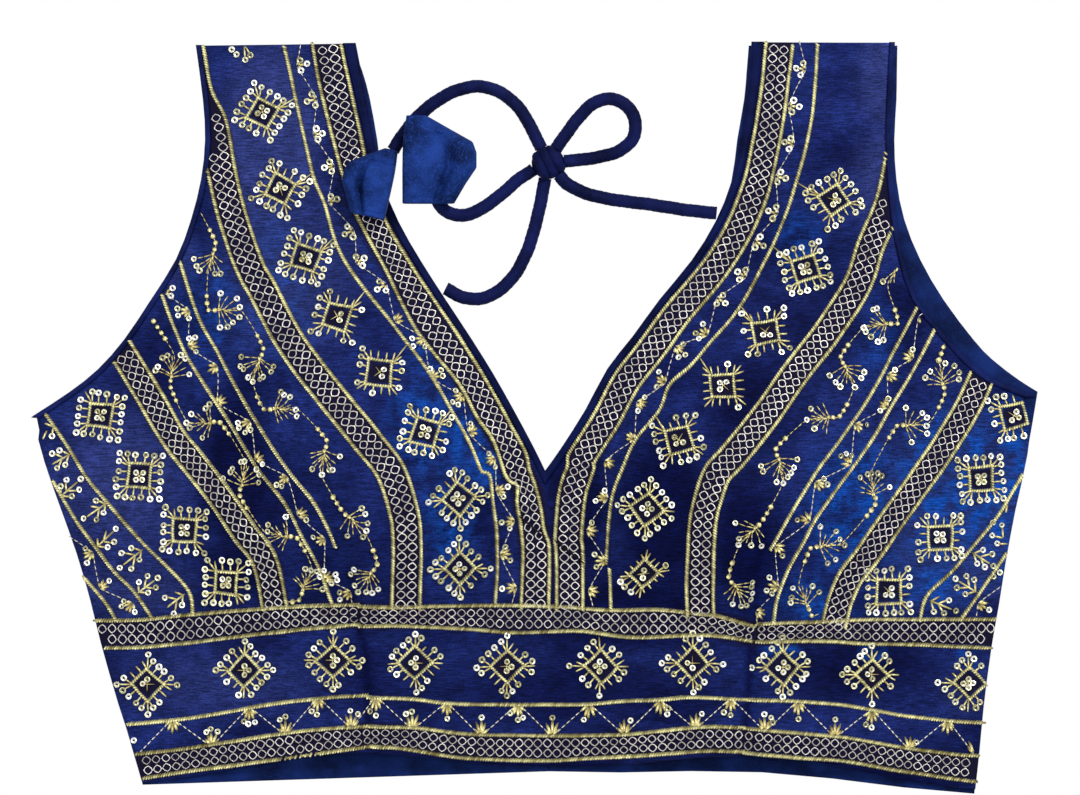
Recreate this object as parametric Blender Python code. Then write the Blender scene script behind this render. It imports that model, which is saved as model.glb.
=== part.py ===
"""A choli blouse laid flat with its front up: cropped and sleeveless, with a deep V neck, and cord ties
that end in cloth tassels.

The frame: +X across the body to the wearer's left, +Y up it towards the shoulders, and +Z away from the
surface that the blouse lies on. The origin is under the middle of the cloth. Left and right in the names
are -X and +X. Lengths in the tables are millimetres.

The back lies flat on the surface. The front lies on it, 0.3 mm above it at the seams, and its darts and
hem arches lift it into a pair of soft cups. Each cloth piece is a wall over a grid of points, whose rows
run across the body.
"""

import math
from collections import namedtuple

import bpy
import numpy as np

# Driving dimensions, in millimetres
SCALE = 0.001
SEAM_GAP = 0.3
BACK_WALL = 1.2
FRONT_WALL = 1.6
BINDING_WIDTH = 2.8
BINDING_WIDTH_AT_SHOULDER = 5.2
BINDING_WIDENS_FROM = 90.0
ARMHOLE_PIPING_WIDTH = 2.0
CUP_HEIGHT = 25.0
CUP_RADIUS_X = 92.0
CUP_RADIUS_Y = 104.0
HEM_ARCH_HEIGHT = 9.0
HEM_ARCH_HALF_WIDTH = 86.0
CORD_DIAMETER = 6.3
CORD_STEP = 2 * CORD_DIAMETER
KNOT_RADIUS = 7.2
KNOT_HEIGHT = 12.0
KNOT_SIDES = 16

# Grid fineness: columns in half a row, points on an edge from one row of a table to the next, and the
# step that slopes are measured over
FRONT_COLUMNS = 26
BACK_COLUMNS = 6
STEPS_PER_ROW = 2
SLOPE_STEP = 0.5
CURVE_STEPS = 24

# The centre-front line leans a little, as the blouse lies
V_POINT = (4.7, -25.4)
KNOT_CENTRE = (6.1, 119.8)

# Each row crosses the blouse from its left outer edge to the middle or the neck edge, and from there or
# the other neck edge to its right outer edge. bend moves the middle of each half of the row up the body.
Row = namedtuple(
    "Row",
    "name left_x left_y neck_left_x neck_left_y neck_right_x neck_right_y right_x right_y"
    " bend_left bend_right",
)

FRONT_ROWS = [
    Row("hem", -184.2, -171.1, 6.6, -163.6, 6.6, -163.6, 206.8, -174.4, 10.5, 10.5),
    Row("hem band", -188.5, -156.0, 6.5, -148.0, 6.5, -148.0, 208.7, -157.0, 8.0, 8.0),
    Row("lower panel", -195.5, -134.9, 6.4, -127.8, 6.4, -127.8, 210.6, -136.3, 6.5, 6.5),
    Row("waist low", -204.0, -105.3, 6.2, -104.8, 6.2, -104.8, 214.3, -108.1, 4.0, 3.0),
    Row("waist high", -208.7, -86.0, 6.0, -88.4, 6.0, -88.4, 217.6, -89.3, 2.0, 1.0),
    Row("under bust", -215.3, -63.4, 5.7, -69.6, 5.7, -69.6, 221.4, -65.8, 0.0, 0.0),
    Row("bust low", -222.8, -42.3, 5.3, -52.0, 5.3, -52.0, 225.6, -43.2, 0.0, 0.0),
    Row("V point", -230.3, -20.7, *V_POINT, *V_POINT, 231.2, -17.4, 0.0, 0.0),
    Row("underarm", -236.0, 0.4, -0.8, -14.1, 12.7, -14.1, 234.6, 10.3, 0.0, 0.0),
    Row("armhole 1", -218.6, 11.8, -10.4, 3.8, 24.0, 3.8, 224.2, 14.1, 0.0, 0.0),
    Row("armhole 2", -205.0, 22.6, -20.2, 21.1, 34.3, 23.0, 210.6, 20.7, 0.0, 0.0),
    Row("armhole 3", -192.6, 36.7, -30.5, 37.6, 46.1, 38.1, 194.6, 36.2, 0.0, 0.0),
    Row("armhole 4", -180.0, 55.5, -42.3, 55.5, 58.8, 55.5, 179.5, 55.5, 0.0, 0.0),
    Row("armhole 5", -168.3, 74.3, -54.0, 73.8, 73.8, 73.8, 173.0, 74.3, 0.0, 0.0),
    Row("armhole 6", -161.2, 93.1, -64.4, 92.1, 85.1, 92.1, 169.7, 92.1, 0.0, 0.0),
    Row("armhole 7", -156.5, 111.9, -71.9, 110.9, 92.6, 110.9, 167.8, 110.9, 0.0, 0.0),
    Row("armhole 8", -154.6, 130.7, -75.7, 130.7, 96.8, 130.7, 166.8, 130.7, 0.0, 0.0),
    Row("strap", -155.6, 149.5, -79.5, 150.4, 99.6, 150.4, 167.3, 150.4, 0.0, 0.0),
    Row("shoulder", -158.9, 174.8, -84.5, 175.8, 102.0, 176.4, 168.7, 176.2, 0.0, 0.0),
]

# The back's neck runs just inside the front's, so that it hides behind it, and shows beside the left strap
BACK_ROWS = [
    Row("hem", -184.2, -172.2, 6.6, -165.9, 6.6, -165.9, 206.3, -176.4, 0.0, 4.8),
    Row("lower panel", -195.0, -134.9, 6.4, -127.8, 6.4, -127.8, 209.6, -136.3, 0.0, 2.0),
    Row("waist", -208.2, -86.0, 6.0, -90.2, 6.0, -90.2, 217.1, -89.3, 0.0, 0.0),
    Row("bust", -221.8, -42.3, 5.3, -60.0, 5.3, -60.0, 224.7, -43.2, 0.0, 0.0),
    Row("neck", -229.4, -20.7, 4.7, -37.0, 4.7, -37.0, 230.9, -17.4, 0.0, 0.0),
    Row("underarm", -234.0, 0.2, -7.5, -18.1, 16.8, -18.1, 236.0, 12.2, 0.0, 0.0),
    Row("armhole 1", -218.5, 9.9, -14.0, 1.8, 26.8, 1.8, 227.0, 17.9, 0.0, 0.0),
    Row("armhole 2", -204.9, 20.7, -21.6, 20.0, 36.2, 22.0, 214.8, 27.3, 0.0, 0.0),
    Row("armhole 3", -191.3, 35.2, -31.0, 37.0, 47.0, 37.6, 205.9, 36.7, 0.0, 0.0),
    Row("armhole 4", -178.1, 54.5, -42.4, 55.2, 59.4, 55.2, 191.8, 55.5, 0.0, 0.0),
    Row("armhole 5", -166.4, 73.3, -54.4, 73.5, 74.3, 73.5, 180.9, 74.3, 0.0, 0.0),
    Row("armhole 6", -159.3, 92.1, -64.6, 92.0, 85.4, 92.0, 173.4, 93.1, 0.0, 0.0),
    Row("armhole 7", -154.6, 110.9, -71.4, 110.9, 92.4, 110.9, 169.7, 111.9, 0.0, 0.0),
    Row("armhole 8", -152.8, 130.7, -74.3, 130.7, 95.2, 130.7, 168.7, 130.7, 0.0, 0.0),
    Row("strap", -153.7, 149.5, -77.8, 150.0, 98.5, 150.0, 169.7, 149.5, 0.0, 0.0),
    Row("strap top", -155.4, 161.5, -81.4, 163.2, 99.6, 162.4, 169.9, 162.0, 0.0, 0.0),
    Row("shoulder", -157.0, 173.4, -86.0, 174.8, 100.6, 174.8, 170.1, 174.8, 0.0, 0.0),
]

# Where the darts end, under the fullest place of each cup
Cup = namedtuple("Cup", "side x y dart_x")
CUPS = [
    Cup("left", -81.3, -26.8, -77.0),
    Cup("right", 100.1, -28.2, 99.0),
]

# Sewn darts, the gathered centre pinch and the widest folds: each lifts the cloth along the line from its
# start to its end, and a dart draws it down instead
Fold = namedtuple("Fold", "name start_x start_y end_x end_y height half_width")
FOLDS = [
    Fold("left dart top", -92.0, -58.0, -82.2, -100.6, -2.2, 7.0),
    Fold("left dart foot", -82.2, -100.6, -76.1, -156.0, -2.4, 7.0),
    Fold("right dart top", 108.1, -61.1, 102.0, -103.9, -2.2, 7.0),
    Fold("right dart foot", 102.0, -103.9, 98.0, -158.4, -2.4, 7.0),
    Fold("centre pinch", 8.0, -57.0, 8.0, -90.0, -1.6, 6.0),
    Fold("left side", -196.0, -22.0, -182.0, -84.0, 3.0, 26.0),
    Fold("right side", 198.0, -14.0, 190.0, -84.0, 3.2, 28.0),
    Fold("left underarm", -206.0, -19.0, -190.0, -10.0, 1.8, 8.0),
    Fold("left strap", -122.0, 88.0, -118.0, 138.0, 1.8, 30.0),
    Fold("right strap", 130.0, 88.0, 132.0, 138.0, 1.8, 30.0),
]

# The cords' routes, each from a point on its own curve to the next
TAIL_B_ROUTE = [
    (-0.9, 134.4), (-7.0, 144.8), (-15.5, 152.3), (-25.8, 155.6), (-36.7, 153.7),
    (-46.5, 148.5), (-55.5, 141.0), (-62.2, 132.6), (-66.6, 125.6),
]
TAIL_A_ROUTE = [
    (-8.2, 111.6), (-17.0, 104.0), (-27.7, 96.9), (-36.5, 95.2),
    (-43.5, 98.6), (-47.6, 106.0), (-49.6, 116.0), (-50.4, 127.0),
]
LOOP_ROUTE = [
    (14.6, 133.2), (20.2, 140.6), (26.6, 147.0), (34.5, 149.8), (42.6, 146.8),
    (46.9, 139.4), (45.9, 131.2), (39.6, 125.4), (30.6, 122.6), (21.4, 121.2),
]
TIE_LEFT_ROUTE = [
    (3.4, 105.0), (0.8, 93.0), (-3.6, 78.5), (-10.8, 65.6), (-21.4, 57.2), (-32.4, 56.2), (-42.0, 60.7),
]
TIE_RIGHT_ROUTE = [(15.6, 109.6), (24.6, 105.2), (37.0, 102.4), (54.0, 100.2), (71.0, 97.6), (85.2, 96.1)]

Cord = namedtuple("Cord", "name leaves_knot_at route end_height returns_at")
CORDS = [
    Cord("tail_b", 115.0, TAIL_B_ROUTE, 4.0, None),
    Cord("bow_loop", 60.0, LOOP_ROUTE, None, 5.0),
    Cord("tie_right", -48.0, TIE_RIGHT_ROUTE, None, None),
    Cord("tie_left", -101.0, TIE_LEFT_ROUTE, None, None),
    Cord("tail_a", -155.0, TAIL_A_ROUTE, None, None),
]

# A tassel is a square of cloth folded round the cord's end: a narrow cap, a flat face and a rolled side.
# Its sections run from the cap down to the open mouth, in the tassel's own frame with the cap at the top.
Section = namedtuple("Section", "along left right groove thick")
TASSEL_SECTIONS = [
    Section(0.0, -4.7, 4.7, 0.0, 5.0),
    Section(6.5, -5.6, 16.0, 0.0, 7.5),
    Section(12.4, -6.2, 26.4, 1.2, 10.5),
    Section(17.5, -6.4, 28.2, 2.4, 12.0),
    Section(24.6, -6.5, 28.2, 3.0, 12.5),
    Section(32.0, -6.5, 23.2, 2.6, 12.0),
    Section(41.0, -6.5, 17.9, 1.4, 11.0),
]
MOUTH_DEPTH = 7.0
MOUTH_WALL = 1.6
FOLD_SHARE = 0.62
EDGE_BEVEL = 1.8
Tassel = namedtuple("Tassel", "name x y z turn length width flip")
TASSELS = [
    Tassel("tassel_a", -55.5, 141.6, 6.7, 0.0, 1.0, 1.0, 1.0),
    Tassel("tassel_b", -68.2, 124.2, 3.5, -9.0, 0.78, 0.68, -1.0),
]

NAVY = (0.020, 0.035, 0.20)
DARK_NAVY = (0.010, 0.018, 0.11)


def clear_scene():
    for item in list(bpy.data.objects):
        bpy.data.objects.remove(item)


def cloth_material(name, colour, roughness):
    material = bpy.data.materials.new(name)
    material.use_nodes = True
    shader = material.node_tree.nodes["Principled BSDF"]
    shader.inputs["Base Color"].default_value = (*colour, 1)
    shader.inputs["Roughness"].default_value = roughness
    shader.inputs["Metallic"].default_value = 0.0
    return material


def add_mesh(name, points, faces, material):
    """One named object from points in millimetres."""
    mesh = bpy.data.meshes.new(name)
    mesh.from_pydata([tuple(c * SCALE for c in point) for point in points], [], faces)
    mesh.shade_smooth()
    mesh.set_sharp_from_angle(angle=math.radians(40))
    mesh.materials.append(material)
    item = bpy.data.objects.new(name, mesh)
    bpy.context.collection.objects.link(item)
    return item


# ---- The height of the front over the surface

def hump(distance):
    """1 in the middle, 0 from a distance of 1 outwards, level at both."""
    return max(0.0, 1 - distance * distance) ** 2


def fold_height(fold, x, y):
    """How far one fold or dart moves the cloth at a point."""
    start = np.array([fold.start_x, fold.start_y])
    run = np.array([fold.end_x, fold.end_y]) - start
    share = float(np.dot(np.array([x, y]) - start, run) / np.dot(run, run))
    nearest = start + run * min(1.0, max(0.0, share))
    return fold.height * hump(math.hypot(x - nearest[0], y - nearest[1]) / fold.half_width)


def rise(x, y):
    """How far the front stands above where it would lie flat on the back."""
    height = 0.0
    for cup in CUPS:
        dome = CUP_HEIGHT * hump(math.hypot((x - cup.x) / CUP_RADIUS_X, (y - cup.y) / CUP_RADIUS_Y))
        arch = HEM_ARCH_HEIGHT * hump((x - cup.dart_x) / HEM_ARCH_HALF_WIDTH) * below_bust(y)
        height += (dome**3 + arch**3) ** (1 / 3)
    moves = [fold_height(fold, x, y) for fold in FOLDS]
    return max(0.0, height + max(moves) + min(moves))


def below_bust(y):
    """1 from the underbust down to the hem, fading to 0 at the top of the cups."""
    share = min(1.0, max(0.0, (20.0 - y) / 60.0))
    return share * share * (3 - 2 * share)


def front_under(x, y):
    return BACK_WALL + SEAM_GAP + rise(x, y)


def back_under(_x, _y):
    return 0.0


# ---- Grids across the body

def smooth_run(points, steps, breaks):
    """Points on a Catmull-Rom curve through the given ones, steps to a span, with a corner at each break."""
    points = [np.array(p, float) for p in points]
    found = []
    for i in range(len(points) - 1):
        a, b = points[i], points[i + 1]
        before = points[i - 1] if i > 0 and i not in breaks else 2 * a - b
        after = points[i + 2] if i + 2 < len(points) and i + 1 not in breaks else 2 * b - a
        square = 2 * before - 5 * a + 4 * b - after
        cube = 3 * a - before - 3 * b + after
        for step in range(steps):
            t = step / steps
            found.append(0.5 * (2 * a + (b - before) * t + square * t**2 + cube * t**3))
    found.append(points[-1])
    return found


def row_number(rows, name):
    return [row.name for row in rows].index(name)


class Edges:
    """The four long edges of a body piece, as equal lists of points from the hem to the shoulder."""

    def __init__(self, rows, split_name):
        split = row_number(rows, split_name)
        underarm = row_number(rows, "underarm")

        def run(points, corner):
            return smooth_run(points, STEPS_PER_ROW, {corner})

        self.left = run([(r.left_x, r.left_y) for r in rows], underarm)
        self.neck_left = run([(r.neck_left_x, r.neck_left_y) for r in rows], split)
        self.neck_right = run([(r.neck_right_x, r.neck_right_y) for r in rows], split)
        self.right = run([(r.right_x, r.right_y) for r in rows], underarm)
        self.bend_left = [p[0] for p in run([(r.bend_left, 0) for r in rows], split)]
        self.bend_right = [p[0] for p in run([(r.bend_right, 0) for r in rows], split)]
        self.split = split * STEPS_PER_ROW
        self.underarm = underarm * STEPS_PER_ROW
        self.count = len(self.left)


def inset_edge(edge, other, first, width):
    """The edge moved in by width, along the rows towards the other edge, from the row numbered first up.
    width is one number, or one for each point."""
    moved = [p.copy() for p in edge]
    widths = np.broadcast_to(width, len(edge))
    for i in range(first, len(edge)):
        along = edge[min(i + 1, len(edge) - 1)] - edge[i if i == first else i - 1]
        across = other[i] - edge[i]
        along = along / np.linalg.norm(along)
        across = across / np.linalg.norm(across)
        moved[i] = edge[i] + across * widths[i] / abs(across[0] * along[1] - across[1] * along[0])
    return moved


def half_rows(outer, inner, bends, columns):
    """A grid of points: for each row, from the outer edge to the inner one."""
    rows = []
    for a, b, bend in zip(outer, inner, bends):
        row = []
        for column in range(columns + 1):
            share = column / columns
            point = a + (b - a) * share
            row.append((point[0], point[1] + bend * math.sin(math.pi * share) ** 2))
        rows.append(row)
    return rows


def weld_grids(grids):
    """One list of points and their faces, seen from above, from grids that share points."""
    numbers = {}
    points = []

    def number(point):
        key = (round(point[0], 4), round(point[1], 4))
        if key not in numbers:
            numbers[key] = len(points)
            points.append(key)
        return numbers[key]

    faces = []
    for grid in grids:
        for low, high in zip(grid, grid[1:]):
            for k in range(len(low) - 1):
                corners = [number(low[k]), number(low[k + 1]), number(high[k + 1]), number(high[k])]
                for triangle in (corners[:3], [corners[0], corners[2], corners[3]]):
                    if len(set(triangle)) == 3:
                        faces.append(turned_up(triangle, points))
    return points, faces


def turned_up(triangle, points):
    """The same triangle, anticlockwise from above."""
    (ax, ay), (bx, by), (cx, cy) = (points[i] for i in triangle)
    area = (bx - ax) * (cy - ay) - (by - ay) * (cx - ax)
    return triangle if area > 0 else triangle[::-1]


def add_wall(name, grids, under, wall, material):
    """A closed cloth wall over the grids, with its inner face at height under, and its outer face above."""
    flat, triangles = weld_grids(grids)
    count = len(flat)
    lower = []
    upper = []
    for x, y in flat:
        slope_x = (under(x + SLOPE_STEP, y) - under(x - SLOPE_STEP, y)) / (2 * SLOPE_STEP)
        slope_y = (under(x, y + SLOPE_STEP) - under(x, y - SLOPE_STEP)) / (2 * SLOPE_STEP)
        z = under(x, y)
        lower.append((x, y, z))
        upper.append((x, y, z + wall * math.sqrt(1 + slope_x**2 + slope_y**2)))
    faces = [[i + count for i in triangle] for triangle in triangles]
    faces += [triangle[::-1] for triangle in triangles]
    directed = {(t[k], t[(k + 1) % 3]) for t in triangles for k in range(3)}
    for a, b in sorted(directed):
        if (b, a) not in directed:
            faces.append([b + count, a + count, a, b])
    return add_mesh(name, lower + upper, faces, material)


# ---- The cloth pieces

def add_front(material):
    edges = Edges(FRONT_ROWS, "V point")
    at_piping = ARMHOLE_PIPING_WIDTH + SEAM_GAP
    at_binding = binding_widths(edges) + SEAM_GAP
    grids = []
    for side, neck, bends in (
        (edges.left, edges.neck_left, edges.bend_left),
        (edges.right, edges.neck_right, edges.bend_right),
    ):
        outer = inset_edge(side, neck, edges.underarm, at_piping)
        inner = neck_inset(edges, neck, side, at_binding)
        grids.append(half_rows(outer, inner, bends, FRONT_COLUMNS))
    return add_wall("front_panel", grids, front_under, FRONT_WALL, material)


def binding_widths(edges):
    """The binding's width at each point up the neck edge. It is wider up the straps than round the V."""
    heights = [point[1] for point in edges.neck_left]
    return np.interp(heights, (BINDING_WIDENS_FROM, heights[-1]), (BINDING_WIDTH, BINDING_WIDTH_AT_SHOULDER))


def neck_inset(edges, edge, other, widths):
    """The neck edge moved in by widths, meeting its other half on the centre line in a mitre."""
    moved = inset_edge(edge, other, edges.split, widths)
    half_angle = v_half_angle(edges)
    moved[edges.split] = edge[edges.split] - np.array([0.0, widths[edges.split] / math.sin(half_angle)])
    return moved


def v_half_angle(edges):
    """Half the angle of the V at its point."""
    to_left = edges.neck_left[edges.split + 2] - edges.neck_left[edges.split]
    to_right = edges.neck_right[edges.split + 2] - edges.neck_right[edges.split]
    turn = np.dot(to_left, to_right) / np.linalg.norm(to_left) / np.linalg.norm(to_right)
    return math.acos(turn) / 2


def add_neck_binding(material):
    """The bias strip along the whole neck, mitred at the point of the V."""
    edges = Edges(FRONT_ROWS, "V point")
    grids = []
    for edge, other in ((edges.neck_left, edges.left), (edges.neck_right, edges.right)):
        inner = neck_inset(edges, edge, other, binding_widths(edges))
        outside = edge[edges.split :]
        inside = inner[edges.split :]
        grids.append([[tuple(a), tuple(b)] for a, b in zip(inside, outside)])
    return add_wall("neck_binding", grids, front_under, FRONT_WALL, material)


def add_armhole_piping(side, material):
    edges = Edges(FRONT_ROWS, "V point")
    if side == "left":
        edge, other = edges.left, edges.neck_left
    else:
        edge, other = edges.right, edges.neck_right
    inner = inset_edge(edge, other, edges.underarm, ARMHOLE_PIPING_WIDTH)
    start = edges.underarm
    strip = [[tuple(a), tuple(b)] for a, b in zip(edge[start:], inner[start:])]
    return add_wall("armhole_piping_" + side, [strip], front_under, FRONT_WALL, material)


def add_back(side, material):
    """One half of the back. The halves meet edge to edge along the centre-back opening."""
    edges = Edges(BACK_ROWS, "neck")
    if side == "left":
        outer, inner, bends, away = edges.left, edges.neck_left, edges.bend_left, -0.5 * SEAM_GAP
    else:
        outer, inner, bends, away = edges.right, edges.neck_right, edges.bend_right, 0.5 * SEAM_GAP
    opened = [p + np.array([away, 0.0]) if i <= edges.split else p for i, p in enumerate(inner)]
    grid = half_rows(outer, opened, bends, BACK_COLUMNS)
    return add_wall("back_" + side, [grid], back_under, BACK_WALL, material)


# ---- The ties

def knot_edge(angle):
    """Where a cord leaves the knot: a seam's gap off its side."""
    reach = KNOT_RADIUS + SEAM_GAP
    turn = math.radians(angle)
    return (KNOT_CENTRE[0] + reach * math.cos(turn), KNOT_CENTRE[1] + reach * math.sin(turn))


def even_points(route, step):
    """Points about a step apart on the smooth curve through a route."""
    fine = np.array(smooth_run(route, CURVE_STEPS, set()))
    lengths = np.concatenate([[0], np.cumsum(np.linalg.norm(np.diff(fine, axis=0), axis=1))])
    count = max(4, round(lengths[-1] / step))
    return [
        tuple(float(np.interp(at, lengths, fine[:, axis])) for axis in range(fine.shape[1]))
        for at in np.linspace(0, lengths[-1], count + 1)
    ]


def add_cord(cord, material):
    radius = CORD_DIAMETER / 2
    route = [knot_edge(cord.leaves_knot_at)] + cord.route
    if cord.returns_at is not None:
        route.append(knot_edge(cord.returns_at))
    heights = [radius] * len(route)
    if cord.end_height is not None:
        heights[-1] = cord.end_height
    points = even_points([(x, y, z) for (x, y), z in zip(route, heights)], CORD_STEP)
    curve = bpy.data.curves.new(cord.name, "CURVE")
    curve.dimensions = "3D"
    curve.bevel_depth = radius * SCALE
    curve.bevel_resolution = 2
    curve.use_fill_caps = True
    spline = curve.splines.new("POLY")
    spline.points.add(len(points) - 1)
    for point, (x, y, z) in zip(spline.points, points):
        point.co = (x * SCALE, y * SCALE, max(z, radius) * SCALE, 1)
    curve.materials.append(material)
    item = bpy.data.objects.new(cord.name, curve)
    bpy.context.collection.objects.link(item)
    return item


def ring_faces(rings, size):
    """The faces between each ring of points and the next, facing out where the rings run anticlockwise."""
    faces = []
    for ring in range(rings - 1):
        for k in range(size):
            a = ring * size + k
            b = ring * size + (k + 1) % size
            faces.append([a, b, b + size, a + size])
    return faces


def add_knot(material):
    """The knot: a squat lump, turned about an upright axis, that all the cords run into."""
    profile = [
        (0.75 * KNOT_RADIUS, 0.0),
        (0.97 * KNOT_RADIUS, 0.10 * KNOT_HEIGHT),
        (KNOT_RADIUS, 0.27 * KNOT_HEIGHT),
        (0.97 * KNOT_RADIUS, 0.52 * KNOT_HEIGHT),
        (0.78 * KNOT_RADIUS, 0.78 * KNOT_HEIGHT),
        (0.44 * KNOT_RADIUS, 0.95 * KNOT_HEIGHT),
    ]
    points = []
    for radius, z in profile:
        for k in range(KNOT_SIDES):
            turn = 2 * math.pi * k / KNOT_SIDES
            x = KNOT_CENTRE[0] + radius * math.cos(turn)
            y = KNOT_CENTRE[1] + radius * math.sin(turn)
            points.append((x, y, z))
    faces = ring_faces(len(profile), KNOT_SIDES)
    faces.append(list(range(KNOT_SIDES))[::-1])
    top = (len(profile) - 1) * KNOT_SIDES
    points.append((*KNOT_CENTRE, KNOT_HEIGHT))
    for k in range(KNOT_SIDES):
        faces.append([top + k, top + (k + 1) % KNOT_SIDES, len(points) - 1])
    return add_mesh("tie_knot", points, faces, material)


# ---- The tassels

def tassel_ring(section, shrink):
    """A section of the tassel, drawn in by shrink all round.

    It has a flat underside, a rolled side on the right, a groove down its upper face at FOLD_SHARE of its
    width, and a flat face to the left of that.
    """
    left = section.left + shrink
    right = section.right - shrink
    low = shrink
    high = section.thick - shrink
    width = right - left
    fold = left + FOLD_SHARE * width
    bevel = min(EDGE_BEVEL, 0.2 * (high - low))
    return [
        (left + bevel, low),
        (right - 1.6 * bevel, low),
        (right, low + 0.35 * (high - low)),
        (right, low + 0.60 * (high - low)),
        (right - 1.6 * bevel, high - 0.6 * bevel),
        (fold + 0.12 * width, high - 0.3 * section.groove),
        (fold, high - section.groove),
        (fold - 0.08 * width, high),
        (left + bevel, high),
        (left, high - bevel),
        (left, low + bevel),
    ]


def add_tassel(tassel, material):
    """Rings from the cap to the mouth, then back inside it to the floor of its shallow hollow."""
    rings = [(section.along, tassel_ring(section, 0.0)) for section in TASSEL_SECTIONS]
    mouth = TASSEL_SECTIONS[-1]
    rings.append((mouth.along, tassel_ring(mouth, MOUTH_WALL)))
    rings.append((mouth.along - MOUTH_DEPTH, tassel_ring(mouth, 1.5 * MOUTH_WALL)))
    turn = math.radians(tassel.turn)
    points = []
    for along, ring in rings:
        for across, up in ring:
            sideways = tassel.flip * tassel.width * across
            down = -tassel.length * along
            x = tassel.x + sideways * math.cos(turn) - down * math.sin(turn)
            y = tassel.y + sideways * math.sin(turn) + down * math.cos(turn)
            points.append((x, y, tassel.z + up))
    size = len(rings[0][1])
    last = (len(rings) - 1) * size
    faces = ring_faces(len(rings), size)
    faces.append(list(range(size))[::-1])
    faces.append([last + k for k in range(size)])
    if tassel.flip < 0:
        faces = [face[::-1] for face in faces]
    return add_mesh(tassel.name, points, faces, material)


def main():
    clear_scene()
    bpy.context.scene.unit_settings.scale_length = 1.0
    silk = cloth_material("embroidered_silk", NAVY, 0.55)
    plain = cloth_material("plain_silk", DARK_NAVY, 0.6)
    add_front(silk)
    add_neck_binding(plain)
    for side in ("left", "right"):
        add_armhole_piping(side, plain)
        add_back(side, plain)
    for cord in CORDS:
        add_cord(cord, plain)
    add_knot(plain)
    for tassel in TASSELS:
        add_tassel(tassel, plain)


main()
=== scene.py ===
"""The looks of a choli blouse of navy slubbed silk with gold embroidery, which lies flat with its front up.

Lengths are in millimetres, but for those that say metres, in the frame's own axes: +X across the blouse, +Y towards
the shoulders and +Z off the surface it lies on. Left is -X and right is +X.
"""

import math
from collections import namedtuple

import bpy
import numpy as np
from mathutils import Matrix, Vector, kdtree
from mathutils.geometry import delaunay_2d_cdt


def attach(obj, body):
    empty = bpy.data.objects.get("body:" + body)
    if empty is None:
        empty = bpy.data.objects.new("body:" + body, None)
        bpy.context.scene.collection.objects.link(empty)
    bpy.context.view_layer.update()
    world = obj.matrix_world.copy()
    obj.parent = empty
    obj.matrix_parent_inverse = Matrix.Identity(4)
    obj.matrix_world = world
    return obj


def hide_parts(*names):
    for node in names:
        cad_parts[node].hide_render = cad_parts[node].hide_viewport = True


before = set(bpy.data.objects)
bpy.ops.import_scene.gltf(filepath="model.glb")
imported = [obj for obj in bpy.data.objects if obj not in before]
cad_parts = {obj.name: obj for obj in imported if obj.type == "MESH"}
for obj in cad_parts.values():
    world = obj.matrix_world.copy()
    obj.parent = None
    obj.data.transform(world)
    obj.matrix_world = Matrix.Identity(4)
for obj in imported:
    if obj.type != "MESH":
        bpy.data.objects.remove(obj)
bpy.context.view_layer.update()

MM = 0.001
TURN = 2 * math.pi
QUARTER = math.pi / 2
rng = np.random.default_rng(27)


def add_object(name, data):
    item = bpy.data.objects.new(name, data)
    bpy.context.collection.objects.link(item)
    return item


# ---- The camera: straight above, at the picture's framing. Its height and its aim are in metres.

PICTURE_WIDTH = 1080
MM_PER_PIXEL = 0.47
CAMERA_HEIGHT = 2.4
SENSOR = 36.0
AIM = (0.00235, 0.0096)


def add_camera():
    data = bpy.data.cameras.new("camera")
    data.sensor_width = SENSOR
    data.lens = SENSOR * CAMERA_HEIGHT / (PICTURE_WIDTH * MM_PER_PIXEL * MM)
    camera = add_object("camera", data)
    camera.location = (*AIM, CAMERA_HEIGHT)
    bpy.context.scene.camera = camera


# ---- Numbers and lines

def rows(kind, table):
    return [kind(*row) for row in table]


def columns(*values):
    """The values side by side, as the columns of one array."""
    return np.stack(np.broadcast_arrays(*values), axis=1)


def unit(vectors):
    return vectors / np.linalg.norm(vectors, axis=1)[:, None]


def ways(angles):
    """The direction of each angle, which is in radians from +X."""
    return columns(np.cos(angles), np.sin(angles))


def angles_of(steps):
    return np.arctan2(steps[:, 1], steps[:, 0])


def jitter(reach, size=None):
    """Random numbers up to reach either side of 0."""
    return rng.uniform(-reach, reach, size)


def turned(points, x, y, degrees):
    """Points turned about the origin, then moved to x, y."""
    cos, sin = math.cos(math.radians(degrees)), math.sin(math.radians(degrees))
    return np.asarray(points, float) @ [[cos, sin], [-sin, cos]] + (x, y)


CURVE_STEPS = 16


def smooth_line(route, step):
    """Points about a step apart on the smooth curve through a route, in as many dimensions as it has."""
    route = np.array(route, float)
    padded = np.vstack([2 * route[0] - route[1], route, 2 * route[-1] - route[-2]])
    t = np.linspace(0, 1, CURVE_STEPS, endpoint=False)[:, None]
    spans = []
    for before, a, b, after in zip(padded, padded[1:], padded[2:], padded[3:]):
        square = 2 * before - 5 * a + 4 * b - after
        cube = 3 * a - before - 3 * b + after
        spans.append(0.5 * (2 * a + (b - before) * t + square * t**2 + cube * t**3))
    fine = np.vstack([*spans, route[-1:]])
    return spots_along(fine, np.linspace(0, 1, max(2, round(along_line(fine)[-1] / step)) + 1))


def along_line(points):
    """How far along the line each of its points is."""
    return np.concatenate([[0], np.cumsum(np.linalg.norm(np.diff(points, axis=0), axis=1))])


def spots_along(line, shares):
    """The spots on a line at these shares of its length."""
    along = along_line(line)
    return np.stack([np.interp(shares * along[-1], along, column) for column in line.T], axis=1)


def headings(points):
    """The direction of travel at each point, in radians from +X."""
    return angles_of(np.gradient(points, axis=0))


def offset_line(points, distance):
    """The line moved sideways, to the left of its travel where distance is positive."""
    return points + np.reshape(distance, (-1, 1)) * ways(headings(points) + QUARTER)


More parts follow.
